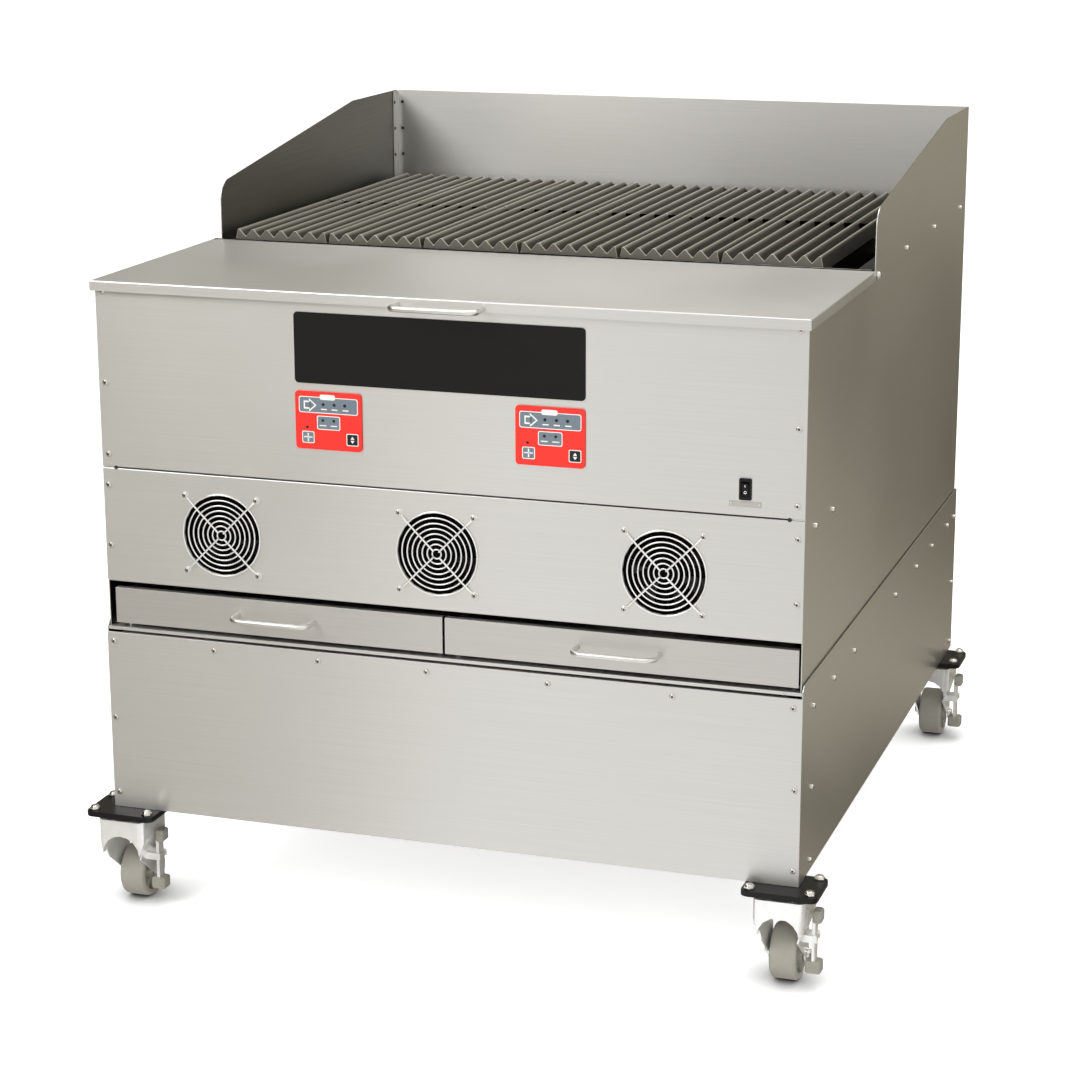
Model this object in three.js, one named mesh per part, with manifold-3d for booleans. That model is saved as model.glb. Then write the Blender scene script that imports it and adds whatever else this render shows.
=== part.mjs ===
// Wood-fired charbroiler on castors: a stainless cabinet with a pellet hopper in front and a firebox
// behind it, on a screwed sheet-metal base with four braked swivel castors.
// Millimetres. +X is to the right seen from the front, +Y to the back, +Z up.
import * as THREE from "three";
import { mergeVertices } from "three/addons/utils/BufferGeometryUtils.js";
import Module from "manifold-3d";

const wasm = await Module();
wasm.setup();

// Driving dimensions. Heights of the cabinet are measured from the underside of the base, and each
// level is stacked on the one below it.
const cabinetWidth = 978;
const cabinetDepth = 1114;
const castorHeight = 143;
const deckHeight = 264;
const bayHeight = 65;
const fanPanelHeight = 160;
const controlHeight = 258;
const kneeRise = 79;
const splashRise = 72;
const bayTopHeight = deckHeight + bayHeight;
const seamHeight = bayTopHeight + fanPanelHeight;
const lidTopHeight = seamHeight + controlHeight;
const kneeHeight = lidTopHeight + kneeRise;
const splashHeight = kneeHeight + splashRise;
const sheet = 1.5;
const seat = 0.3;
const overrun = 5;

// Values that several pieces share.
const cabinetHalf = cabinetWidth / 2;
const skinInner = cabinetHalf - sheet;
const baseOverhang = 3;
const baseLip = 8;
const baseFrontHeight = deckHeight - baseLip;
const baseSideHeight = deckHeight + baseLip;
const baseHalf = cabinetHalf + baseOverhang;
const baseFront = -baseOverhang;
const baseBack = cabinetDepth + baseOverhang;
const deckLip = 4.5;
const flangeWidth = 20;
const splashFront = 401;
const grateFloorDrop = 9;
const grateFloorHeight = lidTopHeight - grateFloorDrop;
const mergeDistance = 1e-4;
const fineSides = 20;
const roundSides = 16;
const raceSides = 12;
const rodSides = 8;
const boltSides = 6;

// Finishes.
function finish(color, roughness, metalness) {
  return new THREE.MeshStandardMaterial({ color, roughness, metalness });
}
const brushedSteel = () => finish(0xc4c2ba, 0.35, 0.9);
const darkSteel = () => finish(0x8f8d86, 0.45, 0.9);
const polishedSteel = () => finish(0xdcdcd8, 0.15, 1);
const castIron = () => finish(0x4a4842, 0.6, 0.6);
const blackPaint = () => finish(0x1d1d1c, 0.5, 0.1);
const blackPlastic = () => finish(0x191919, 0.45, 0);
const redOverlay = () => finish(0xee3a30, 0.4, 0);
const greyTread = () => finish(0x8a877c, 0.6, 0);
const greyGrip = () => finish(0x6f6e66, 0.6, 0);

// Solids: each helper returns a closed manifold solid.
function toSolid(geometry) {
  const bare = geometry.index ? geometry.toNonIndexed() : geometry.clone();
  bare.deleteAttribute("normal");
  bare.deleteAttribute("uv");
  const merged = mergeVertices(bare, mergeDistance);
  return new wasm.Manifold(
    new wasm.Mesh({
      numProp: 3,
      vertProperties: merged.attributes.position.array,
      triVerts: new Uint32Array(merged.index.array),
    }),
  );
}

function toGeometry(solid) {
  const mesh = solid.getMesh();
  const geometry = new THREE.BufferGeometry();
  geometry.setAttribute("position", new THREE.BufferAttribute(mesh.vertProperties, 3));
  geometry.setIndex(new THREE.BufferAttribute(mesh.triVerts, 1));
  const faceted = geometry.toNonIndexed();
  faceted.computeVertexNormals();
  return faceted;
}

function join(...solids) {
  return solids.reduce((whole, solid) => whole.add(solid));
}

function cut(whole, ...tools) {
  return tools.reduce((left, tool) => left.subtract(tool), whole);
}

function block([x0, x1], [y0, y1], [z0, z1]) {
  const geometry = new THREE.BoxGeometry(x1 - x0, y1 - y0, z1 - z0);
  geometry.translate((x0 + x1) / 2, (y0 + y1) / 2, (z0 + z1) / 2);
  return toSolid(geometry);
}

const xAxis = new THREE.Vector3(1, 0, 0);
const yAxis = new THREE.Vector3(0, 1, 0);
const zAxis = new THREE.Vector3(0, 0, 1);
const backToFront = new THREE.Vector3(0, -1, 0);

// A round bar along one axis; the centre is given on the two other axes, in X, Y, Z order.
function bar(axis, radius, [from, to], [a, b], sides = roundSides) {
  const geometry = new THREE.CylinderGeometry(radius, radius, to - from, sides);
  const middle = (from + to) / 2;
  if (axis === "x") {
    geometry.rotateZ(-Math.PI / 2).translate(middle, a, b);
  } else if (axis === "y") {
    geometry.translate(a, middle, b);
  } else {
    geometry.rotateX(Math.PI / 2).translate(a, b, middle);
  }
  return toSolid(geometry);
}

function outline(points, holes = []) {
  const shape = new THREE.Shape(points.map(([u, v]) => new THREE.Vector2(u, v)));
  shape.holes = holes;
  return shape;
}

function extruded(shape, depth, curveSegments, steps = 1) {
  return new THREE.ExtrudeGeometry(shape, { depth, steps, curveSegments, bevelEnabled: false });
}

// The shape's own axes lie along Y and Z.
function prismX(shape, [x0, x1], curveSegments = rodSides) {
  const geometry = extruded(shape, x1 - x0, curveSegments);
  geometry.applyMatrix4(new THREE.Matrix4().makeBasis(yAxis, zAxis, xAxis));
  geometry.translate(x0, 0, 0);
  return toSolid(geometry);
}

// The shape's own axes lie along X and Z.
function prismY(shape, [y0, y1], curveSegments = rodSides) {
  const geometry = extruded(shape, y1 - y0, curveSegments);
  geometry.applyMatrix4(new THREE.Matrix4().makeBasis(xAxis, zAxis, backToFront));
  geometry.translate(0, y1, 0);
  return toSolid(geometry);
}

// The shape's own axes lie along X and Y.
function prismZ(shape, [z0, z1], curveSegments = rodSides) {
  const geometry = extruded(shape, z1 - z0, curveSegments);
  geometry.translate(0, 0, z0);
  return toSolid(geometry);
}

function roundedRectangle(width, height, radius) {
  const [w, h] = [width / 2, height / 2];
  const shape = new THREE.Shape();
  shape.moveTo(-w + radius, -h);
  shape.lineTo(w - radius, -h);
  shape.absarc(w - radius, -h + radius, radius, -Math.PI / 2, 0);
  shape.lineTo(w, h - radius);
  shape.absarc(w - radius, h - radius, radius, 0, Math.PI / 2);
  shape.lineTo(-w + radius, h);
  shape.absarc(-w + radius, h - radius, radius, Math.PI / 2, Math.PI);
  shape.lineTo(-w, -h + radius);
  shape.absarc(-w + radius, -h + radius, radius, Math.PI, Math.PI * 1.5);
  return shape;
}

// A revolved profile of [radius, distance] pairs; the distances run along the named axis.
function revolved(profile, axis, sides) {
  const points = profile.map(([radius, along]) => new THREE.Vector2(radius, along));
  const geometry = new THREE.LatheGeometry(points, sides);
  if (axis === "x") geometry.rotateZ(-Math.PI / 2);
  if (axis === "z") geometry.rotateX(Math.PI / 2);
  return toSolid(geometry);
}

function mirrored(solid) {
  return solid.mirror([1, 0, 0]);
}

// A path that a rod follows: straight legs with round bends, mitred at each point.
class RodPath extends THREE.Curve {
  constructor(points) {
    super();
    this.points = points;
  }
  getPoint(share) {
    const spans = this.points.length - 1;
    const place = THREE.MathUtils.clamp(share, 0, 1) * spans;
    const span = Math.min(Math.floor(place), spans - 1);
    return this.points[span].clone().lerp(this.points[span + 1], place - span);
  }
  getPointAt(share) {
    return this.getPoint(share);
  }
  getTangentAt(share) {
    return this.getTangent(share);
  }
}

// A staple handle: two legs out of a face towards the front, joined by a grip with round bends.
function stapleHandle({ length, reach, bend, rod }) {
  const bendSteps = 4;
  const points = [new THREE.Vector3(-length / 2, 0, 0)];
  for (let step = 0; step <= bendSteps; step += 1) {
    const turn = (Math.PI / 2) * (step / bendSteps);
    const x = -length / 2 + bend * (1 - Math.cos(turn));
    const y = -reach + bend * (1 - Math.sin(turn));
    points.push(new THREE.Vector3(x, y, 0));
  }
  const rightHalf = points.map((point) => new THREE.Vector3(-point.x, point.y, 0)).reverse();
  const path = new RodPath([...points, ...rightHalf]);
  const section = new THREE.Shape().absarc(0, 0, rod / 2, 0, Math.PI * 2);
  const steps = path.points.length - 1;
  return toSolid(
    new THREE.ExtrudeGeometry(section, { steps, extrudePath: path, curveSegments: rodSides / 2 }),
  );
}

// Scene graph: the cabinet stands on the castors, and its frame starts at the base's underside.
const charbroiler = new THREE.Group();
const standing = new THREE.Group();
const cabinet = new THREE.Group();
cabinet.position.z = castorHeight;
standing.add(cabinet);
charbroiler.add(standing);

function addPiece(parent, name, solid, material, [x, y, z] = [0, 0, 0]) {
  const mesh = new THREE.Mesh(toGeometry(solid), material);
  mesh.name = name;
  mesh.position.set(x, y, z);
  parent.add(mesh);
  return mesh;
}

// Base: four screwed panels round a floor, with a deck that carries the drawers and the upper shell.
const baseSkinFront = baseFront + sheet + seat;
const baseSkinBack = baseBack - sheet - seat;
const baseCornerRadius = 12;
const ledgeHeight = deckHeight - sheet - seat;

function baseSidePanel() {
  const skin = new THREE.Shape();
  skin.moveTo(baseSkinFront, 0);
  skin.lineTo(baseSkinBack, 0);
  skin.lineTo(baseSkinBack, baseSideHeight);
  skin.lineTo(baseSkinFront + baseCornerRadius, baseSideHeight);
  skin.absarc(
    baseSkinFront + baseCornerRadius,
    baseSideHeight - baseCornerRadius,
    baseCornerRadius,
    Math.PI / 2,
    Math.PI,
  );
  const flangeSpan = [baseHalf - flangeWidth, baseHalf - sheet / 2];
  return join(
    prismX(skin, [baseHalf - sheet, baseHalf], rodSides / 2),
    block(flangeSpan, [baseSkinFront, baseSkinBack], [0, sheet]),
    block(flangeSpan, [baseSkinFront, baseSkinFront + sheet], [0, baseFrontHeight]),
    block(flangeSpan, [baseSkinBack - sheet, baseSkinBack], [0, baseFrontHeight]),
    block(
      flangeSpan,
      [baseSkinFront + flangeWidth, baseSkinBack - flangeWidth],
      [ledgeHeight - sheet, ledgeHeight],
    ),
  );
}

function baseEndPanel(face, inward, height, topFlange) {
  const faceSpan = inward > 0 ? [face, face + sheet] : [face - sheet, face];
  const flangeEnd = face + inward * (flangeWidth - baseOverhang);
  const flangeSpan = [Math.min(face, flangeEnd), Math.max(face, flangeEnd)];
  const flangeHalf = baseHalf - flangeWidth - seat;
  const whole = join(
    block([-baseHalf, baseHalf], faceSpan, [0, height]),
    block([-flangeHalf, flangeHalf], flangeSpan, [0, sheet]),
  );
  if (!topFlange) return whole;
  return join(whole, block([-flangeHalf, flangeHalf], flangeSpan, [height - sheet, height]));
}

function baseFloor() {
  const half = baseHalf - sheet - seat;
  const lipHeight = 12;
  const [front, back] = [baseSkinFront + sheet + seat, baseSkinBack - sheet - seat];
  const underside = sheet + seat;
  const pan = block([-half, half], [front, back], [underside, underside + lipHeight]);
  const inside = block(
    [-half + sheet, half - sheet],
    [front + sheet, back - sheet],
    [underside + sheet, underside + lipHeight + overrun],
  );
  return cut(pan, inside);
}

// Drawers: two shallow ash and grease drawers side by side. Their skids slide on the deck between
// guide rails, and leave a dark gap under the fronts.
const drawerFrontHeight = 50;
const drawerFrontGap = 3.3;
const drawerMargin = { left: 11.05, right: 3.65 };
const drawerInset = 12;
const drawerSplit = (drawerMargin.left - drawerMargin.right) / 2;
const drawerFrontWidth = (cabinetWidth - drawerMargin.left - drawerMargin.right - drawerFrontGap) / 2;
const drawerWidth = drawerFrontWidth - 2 * drawerInset;
const drawerWall = 1.2;
const drawerDepth = 900;
const drawerWallHeight = 46;
const drawerFrontLift = 5.5;
const trayLift = 6;
const skidInset = 20;
const railThickness = 2;
const railHeight = 22;
const railGap = 1;
const drawerCentres = [-1, 1].map(
  (side) => drawerSplit + side * ((drawerFrontGap + drawerFrontWidth) / 2),
);

function drawerDeck() {
  const half = baseHalf - sheet - seat;
  const deck = join(
    block([-half, half], [baseSkinFront, baseSkinBack], [deckHeight - sheet, deckHeight]),
    block(
      [-half, half],
      [baseSkinFront, baseSkinFront + sheet],
      [deckHeight - deckLip, deckHeight],
    ),
  );
  const rails = drawerCentres.flatMap((centre) =>
    [-1, 1].map((side) => {
      const inner = centre + side * (drawerWidth / 2 + railGap);
      const outer = inner + side * railThickness;
      return block(
        [Math.min(inner, outer), Math.max(inner, outer)],
        [flangeWidth, drawerDepth],
        [deckHeight - sheet / 2, deckHeight + railHeight],
      );
    }),
  );
  return join(deck, ...rails);
}

function drawer() {
  const half = drawerWidth / 2;
  const hem = 10;
  const tray = cut(
    block([-half, half], [sheet / 2, drawerDepth], [trayLift, trayLift + drawerWallHeight]),
    block(
      [-half + drawerWall, half - drawerWall],
      [sheet + drawerWall, drawerDepth - drawerWall],
      [trayLift + drawerWall, trayLift + drawerWallHeight + overrun],
    ),
  );
  const skids = [-half, half - drawerWall].map((edge) =>
    block([edge, edge + drawerWall], [skidInset, drawerDepth], [0, trayLift + drawerWall]),
  );
  const frontHalf = drawerFrontWidth / 2;
  const top = drawerFrontLift + drawerFrontHeight;
  return join(
    tray,
    ...skids,
    block([-frontHalf, frontHalf], [0, sheet], [drawerFrontLift, top]),
    block([-frontHalf, frontHalf], [0, hem], [top - sheet, top]),
  );
}

const drawerPull = { length: 112, reach: 30, bend: 14, rod: 7 };
const drawerPullHeight = 32;

addPiece(cabinet, "base_left_panel", mirrored(baseSidePanel()), brushedSteel());
addPiece(cabinet, "base_right_panel", baseSidePanel(), brushedSteel());
addPiece(cabinet, "base_front_panel", baseEndPanel(baseFront, 1, baseFrontHeight, true), brushedSteel());
addPiece(cabinet, "base_back_panel", baseEndPanel(baseBack, -1, baseSideHeight, false), brushedSteel());
addPiece(cabinet, "base_floor", baseFloor(), darkSteel());
addPiece(cabinet, "drawer_deck", drawerDeck(), brushedSteel());
["left", "right"].forEach((hand, index) => {
  const place = [drawerCentres[index], 0, deckHeight + seat];
  addPiece(cabinet, `${hand}_drawer`, drawer(), brushedSteel(), place);
  const pullPlace = [drawerCentres[index], -seat, deckHeight + seat + drawerPullHeight];
  addPiece(cabinet, `${hand}_drawer_pull`, stapleHandle(drawerPull), polishedSteel(), pullPlace);
});

// Upper shell: side panels that carry on up as splash guards, a back panel, and two front panels.
const lidInnerHeight = lidTopHeight - sheet;
const sideTopHeight = lidInnerHeight - 2 * sheet;
const skinFront = sheet + seat;
const skinBack = cabinetDepth - sheet - seat;
const kneeRadius = 30;
const splashLevelDepth = 195;
const deckFlangeWidth = 8;
const hingeGap = 9;
const hingeDrop = 8;
const hingeY = splashFront - hingeGap;
const hingeHeight = lidTopHeight - hingeDrop;
const lidOverhang = 4;
const hingeBolt = { shank: 3, clearance: 0.4, head: 6, headThickness: 3.5, nut: 5.5, nutThickness: 5 };

function sidePanel() {
  const slope = Math.atan2(splashHeight - kneeHeight, skinBack - splashLevelDepth - splashFront);
  const tangent = kneeRadius * Math.tan((Math.PI / 2 - slope) / 2);
  const skin = new THREE.Shape();
  skin.moveTo(skinFront, deckHeight + seat);
  skin.lineTo(skinBack, deckHeight + seat);
  skin.lineTo(skinBack, splashHeight);
  skin.lineTo(skinBack - splashLevelDepth, splashHeight);
  skin.absarc(
    splashFront + kneeRadius,
    kneeHeight - tangent,
    kneeRadius,
    Math.PI / 2 + slope,
    Math.PI,
  );
  skin.lineTo(splashFront, sideTopHeight);
  skin.lineTo(skinFront, sideTopHeight);
  const flangeSpan = [cabinetHalf - flangeWidth, cabinetHalf - sheet / 2];
  const deckFlangeSpan = [skinInner - deckFlangeWidth, cabinetHalf - sheet / 2];
  return join(
    prismX(skin, [skinInner, cabinetHalf], rodSides / 2),
    block(flangeSpan, [skinFront, skinFront + sheet], [bayTopHeight, sideTopHeight - sheet]),
    block(
      deckFlangeSpan,
      [skinFront + flangeWidth, skinBack - flangeWidth],
      [deckHeight + seat, deckHeight + seat + sheet],
    ),
    hingeBoltSolid(),
  );
}

// The lid's hinge bolt is screwed tight in the side panel, with its head outside the lid's ear.
function hingeBoltSolid() {
  const headStart = cabinetHalf + lidOverhang + seat;
  const centre = [hingeY, hingeHeight];
  const nutStart = skinInner - hingeBolt.nutThickness;
  return join(
    bar("x", hingeBolt.shank, [nutStart, headStart + sheet], centre, boltSides),
    bar("x", hingeBolt.head, [headStart, headStart + hingeBolt.headThickness], centre, boltSides),
    bar("x", hingeBolt.nut, [nutStart, cabinetHalf - sheet / 2], centre, boltSides),
  );
}

function backPanel() {
  const flangeOuter = skinInner - seat;
  const sideFlange = (side) =>
    block(
      side > 0 ? [flangeOuter - sheet, flangeOuter] : [-flangeOuter, sheet - flangeOuter],
      [cabinetDepth - flangeWidth, cabinetDepth - sheet / 2],
      [deckHeight + seat + flangeWidth, splashHeight - sheet],
    );
  return join(
    block(
      [-cabinetHalf, cabinetHalf],
      [cabinetDepth - sheet, cabinetDepth],
      [deckHeight + seat, splashHeight],
    ),
    sideFlange(1),
    sideFlange(-1),
  );
}

addPiece(cabinet, "left_side_panel", mirrored(sidePanel()), brushedSteel());
addPiece(cabinet, "right_side_panel", sidePanel(), brushedSteel());
addPiece(cabinet, "back_panel", backPanel(), brushedSteel());

// Controllers: a membrane face on the control panel, and a housing behind it through a cut-out.
const seamGap = 1.8;
const controlBottom = seamHeight + seamGap;
const controller = {
  width: 94,
  height: 78,
  corner: 5,
  face: 2.5,
  bodyWidth: 80,
  bodyHeight: 64,
  bodyDepth: 32,
  offset: 153.5,
  rise: 84.7,
};
const rocker = {
  bezelWidth: 16,
  bezelHeight: 28,
  bezelCorner: 1.5,
  bezelFace: 2,
  bodyWidth: 12.4,
  bodyHeight: 24,
  bodyDepth: 22,
  wellDepth: 9,
  keyWidth: 9,
  keyHeight: 18,
  keyCrown: 3.2,
  keyDepth: 4,
  pin: 1.2,
  clearance: 0.8,
  tilt: 9,
  edgeInset: 77.5,
  rise: 34.7,
};
const controllerHeight = controlBottom + controller.rise;
const rockerX = cabinetHalf - rocker.edgeInset;
const rockerHeight = controlBottom + rocker.rise;
const controlTop = lidInnerHeight - seat;
const frontFlangeHalf = cabinetHalf - flangeWidth - seat;
const frontFlangeDepth = 16;

function controlPanel() {
  const span = [-overrun, sheet + overrun];
  const cutOut = (x, centreHeight, { bodyWidth, bodyHeight }) => {
    const [halfWidth, halfHeight] = [bodyWidth / 2 + seat, bodyHeight / 2 + seat];
    return block(
      [x - halfWidth, x + halfWidth],
      span,
      [centreHeight - halfHeight, centreHeight + halfHeight],
    );
  };
  const controllerCuts = [-1, 1].map((side) =>
    cutOut(side * controller.offset, controllerHeight, controller),
  );
  return cut(
    join(
      block([-cabinetHalf, cabinetHalf], [0, sheet], [controlBottom, controlTop]),
      block([-frontFlangeHalf, frontFlangeHalf], [0, frontFlangeDepth], [controlTop - sheet, controlTop]),
    ),
    ...controllerCuts,
    cutOut(rockerX, rockerHeight, rocker),
  );
}

function controllerUnit() {
  const face = roundedRectangle(controller.width, controller.height, controller.corner);
  const [halfWidth, halfHeight] = [controller.bodyWidth / 2, controller.bodyHeight / 2];
  return join(
    prismY(face, [-seat - controller.face, -seat], 2),
    block([-halfWidth, halfWidth], [-seat - controller.face / 2, controller.bodyDepth], [-halfHeight, halfHeight]),
  );
}

function switchBezel() {
  const face = roundedRectangle(rocker.bezelWidth, rocker.bezelHeight, rocker.bezelCorner);
  const [halfWidth, halfHeight] = [rocker.bodyWidth / 2, rocker.bodyHeight / 2];
  const [wellHalf, wellHeight] = [rocker.keyWidth / 2 + rocker.clearance, rocker.keyHeight / 2 + rocker.clearance];
  const well = block([-wellHalf, wellHalf], [-overrun, rocker.wellDepth], [-wellHeight, wellHeight]);
  const pin = bar("x", rocker.pin, [-wellHalf - seat, wellHalf + seat], [rocker.pin, 0], rodSides);
  return join(
    cut(
      join(
        prismY(face, [-seat - rocker.bezelFace, -seat], 2),
        block([-halfWidth, halfWidth], [-seat - rocker.bezelFace / 2, rocker.bodyDepth], [-halfHeight, halfHeight]),
      ),
      well,
    ),
    pin,
  );
}

// The key's face is two flats that meet at a crown, so one end always stands proud.
function rockerKey() {
  const half = rocker.keyHeight / 2;
  const shape = outline([
    [-rocker.keyCrown, -half],
    [rocker.keyDepth, -half / 2],
    [rocker.keyDepth, half / 2],
    [-rocker.keyCrown, half],
    [-rocker.keyCrown / 2, 0],
  ]);
  const key = prismX(shape, [-rocker.keyWidth / 2, rocker.keyWidth / 2]);
  const bore = bar(
    "x",
    rocker.pin + seat,
    [-rocker.keyWidth, rocker.keyWidth],
    [rocker.pin, 0],
    rodSides,
  );
  const pivoted = cut(key, bore).translate([0, -rocker.pin, 0]);
  return pivoted.rotate([rocker.tilt, 0, 0]).translate([0, rocker.pin, 0]);
}

// Cooling fans: a guard of rings and cross wires, a square frame, and a rotor on the frame's hub.
const fan = {
  edge: 179,
  offset: -4,
  drop: 2.4,
  opening: 55.5,
  frameSize: 119,
  frameCorner: 6,
  frameDepth: 38,
  frameFlange: 5,
  bore: 56.5,
  screwSpacing: 104.8,
  hubRadius: 21,
  hubPlate: 4,
  strut: 5,
  shaft: 3,
  rotorHub: 20,
  rotorRadius: 53,
  rotorDepth: 24,
  rotorStart: 8,
  bladeThickness: 2,
  blades: 7,
};
const guard = { ringShares: [0.11, 0.235, 0.36, 0.485, 0.61, 0.735, 0.865, 1], radius: 56.5, wire: 2.2, eye: 5 };
const smallRingShare = 0.5;
const fanPitch = cabinetHalf - fan.edge;
const fanCentres = [-1, 0, 1].map((step) => fan.offset + step * fanPitch);
const fanHeight = (bayTopHeight + seamHeight) / 2 - fan.drop;

function fanPanel() {
  const bottomFlange = [bayTopHeight, bayTopHeight + sheet];
  const topFlange = [seamHeight - sheet, seamHeight];
  const flangeSpan = [-frontFlangeHalf, frontFlangeHalf];
  const openings = fanCentres.map((x) =>
    bar("y", fan.opening, [-overrun, sheet + overrun], [x, fanHeight], fineSides),
  );
  const panel = cut(
    join(
      block([-cabinetHalf, cabinetHalf], [0, sheet], [bayTopHeight, seamHeight]),
      block(flangeSpan, [0, frontFlangeDepth], bottomFlange),
      block(flangeSpan, [0, frontFlangeDepth], topFlange),
    ),
    ...openings,
  );
  const frames = fanCentres.map((x) => fanFrame().translate([x, sheet, fanHeight]));
  return join(panel, ...frames);
}

function fanFrame() {
  const depth = [0, fan.frameDepth];
  const body = cut(
    prismY(roundedRectangle(fan.frameSize, fan.frameSize, fan.frameCorner), depth, 1),
    bar("y", fan.bore, [-overrun, fan.frameDepth + overrun], [0, 0], fineSides),
  );
  const backSpan = [fan.frameDepth - fan.hubPlate, fan.frameDepth];
  const reach = fan.bore + fan.frameFlange / 2;
  const strutSpan = [-fan.strut / 2, fan.strut / 2];
  return cut(
    join(
      body,
      bar("y", fan.hubRadius, backSpan, [0, 0], rodSides),
      block([-reach, reach], backSpan, strutSpan),
      block(strutSpan, backSpan, [-reach, reach]),
    ),
    bar("y", fan.shaft + seat, [0, fan.frameDepth + overrun], [0, 0], raceSides),
  );
}

function fanRotor() {
  const hubEnd = fan.frameDepth - fan.hubPlate - seat;
  const blade = block(
    [0, fan.rotorRadius],
    [-fan.bladeThickness / 2, fan.bladeThickness / 2],
    [-fan.rotorDepth / 2, fan.rotorDepth / 2],
  )
    .rotate([40, 0, 0])
    .translate([0, (fan.rotorStart + hubEnd) / 2, 0]);
  const blades = Array.from({ length: fan.blades }, (_, index) =>
    blade.rotate([0, (360 / fan.blades) * index, 0]),
  );
  return join(
    bar("y", fan.rotorHub, [fan.rotorStart, hubEnd], [0, 0], rodSides),
    bar("y", fan.shaft, [fan.rotorStart, fan.frameDepth], [0, 0], raceSides),
    ...blades,
  );
}

// The rings are pointed in section and sit on the cross wires, which end in flat screw eyes.
function fanGuard() {
  const half = guard.wire / 2;
  const rings = guard.ringShares.map((share) => {
    const radius = share * guard.radius;
    const sides = share < smallRingShare ? rodSides : raceSides;
    const profile = [
      [radius + half, 0],
      [radius - half, 0],
      [radius, -guard.wire],
      [radius + half, 0],
    ];
    return revolved(profile, "y", sides)
      .rotate([0, 180 / sides, 0])
      .translate([0, -seat - guard.wire, 0]);
  });
  const armEnd = fan.screwSpacing * Math.SQRT1_2;
  const armStart = guard.ringShares[0] * guard.radius - half;
  const armSpan = [-seat - guard.wire - half / 2, -seat];
  const arms = [45, 135, 225, 315].flatMap((turn) => [
    block([armStart, armEnd], armSpan, [-half, half]).rotate([0, turn, 0]),
    bar("y", guard.eye, [-seat - half, -seat], [armEnd, 0], boltSides).rotate([0, turn, 0]),
  ]);
  return join(...rings, ...arms);
}

addPiece(cabinet, "control_panel", controlPanel(), brushedSteel());
addPiece(cabinet, "fan_panel", fanPanel(), brushedSteel());
["left", "right"].forEach((hand, index) => {
  const x = (2 * index - 1) * controller.offset;
  addPiece(cabinet, `${hand}_controller`, controllerUnit(), redOverlay(), [x, 0, controllerHeight]);
});
addPiece(cabinet, "switch_bezel", switchBezel(), blackPlastic(), [rockerX, 0, rockerHeight]);
addPiece(cabinet, "power_rocker", rockerKey(), blackPlastic(), [rockerX, 0, rockerHeight]);
["left", "middle", "right"].forEach((place, index) => {
  const x = fanCentres[index];
  addPiece(cabinet, `${place}_fan_rotor`, fanRotor(), blackPlastic(), [x, sheet, fanHeight]);
  addPiece(cabinet, `${place}_fan_guard`, fanGuard(), polishedSteel(), [x, 0, fanHeight]);
});

// Name plate: a bare black plate over the controllers.
const namePlate = { width: 401, height: 94.5, corner: 9, thickness: 1.2, gap: 10.25 };
const namePlateHeight = controllerHeight + controller.height / 2 + namePlate.gap + namePlate.height / 2;
addPiece(
  cabinet,
  "name_plate",
  prismY(
    roundedRectangle(namePlate.width, namePlate.height, namePlate.corner),
    [-seat - namePlate.thickness, -seat],
    2,
  ),
  blackPaint(),
  [0, 0, namePlateHeight],
);

// Lid over the pellet hopper: a folded pan that turns on two bolts through the side panels.
const lidNose = 8;
const lidBackGap = 11;
const lidSkirt = 14;
const lidFront = -lidNose;
const lidBack = splashFront - lidBackGap;
const lidSkirtHeight = lidTopHeight - lidSkirt;
const lidNotch = 12;
const earRadius = 6.5;
const lidHalf = cabinetHalf + lidOverhang;
const lidHandle = { length: 116, reach: 30, bend: 10, rod: 8 };
const lidHandleX = 6;

function lid() {
  const skirt = new THREE.Shape();
  skirt.moveTo(lidFront, lidSkirtHeight);
  skirt.lineTo(hingeY, lidSkirtHeight);
  skirt.absarc(hingeY, lidSkirtHeight + earRadius, earRadius, -Math.PI / 2, Math.PI / 2);
  skirt.lineTo(lidBack, lidTopHeight);
  skirt.lineTo(lidFront, lidTopHeight);
  const side = prismX(skirt, [lidHalf - sheet, lidHalf], rodSides / 2);
  const notches = [-1, 1].map((hand) => {
    const [inner, outer] = [skinInner - sheet, lidHalf - sheet];
    return block(
      hand > 0 ? [inner, outer] : [-outer, -inner],
      [lidBack - lidNotch, lidBack + overrun],
      [lidInnerHeight - overrun, lidTopHeight + overrun],
    );
  });
  return cut(
    join(
      cut(block([-lidHalf, lidHalf], [lidFront, lidBack], [lidInnerHeight, lidTopHeight]), ...notches),
      block([-lidHalf, lidHalf], [lidFront, lidFront + sheet], [lidSkirtHeight, lidTopHeight]),
      side,
      mirrored(side),
    ),
    bar(
      "x",
      hingeBolt.shank + hingeBolt.clearance,
      [-lidHalf - overrun, lidHalf + overrun],
      [hingeY, hingeHeight],
      rodSides,
    ),
  );
}

addPiece(cabinet, "lid", lid(), brushedSteel());
addPiece(cabinet, "lid_handle", stapleHandle(lidHandle), polishedSteel(), [
  lidHandleX,
  lidFront - seat,
  lidSkirtHeight + lidHandle.rod / 2,
]);

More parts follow.
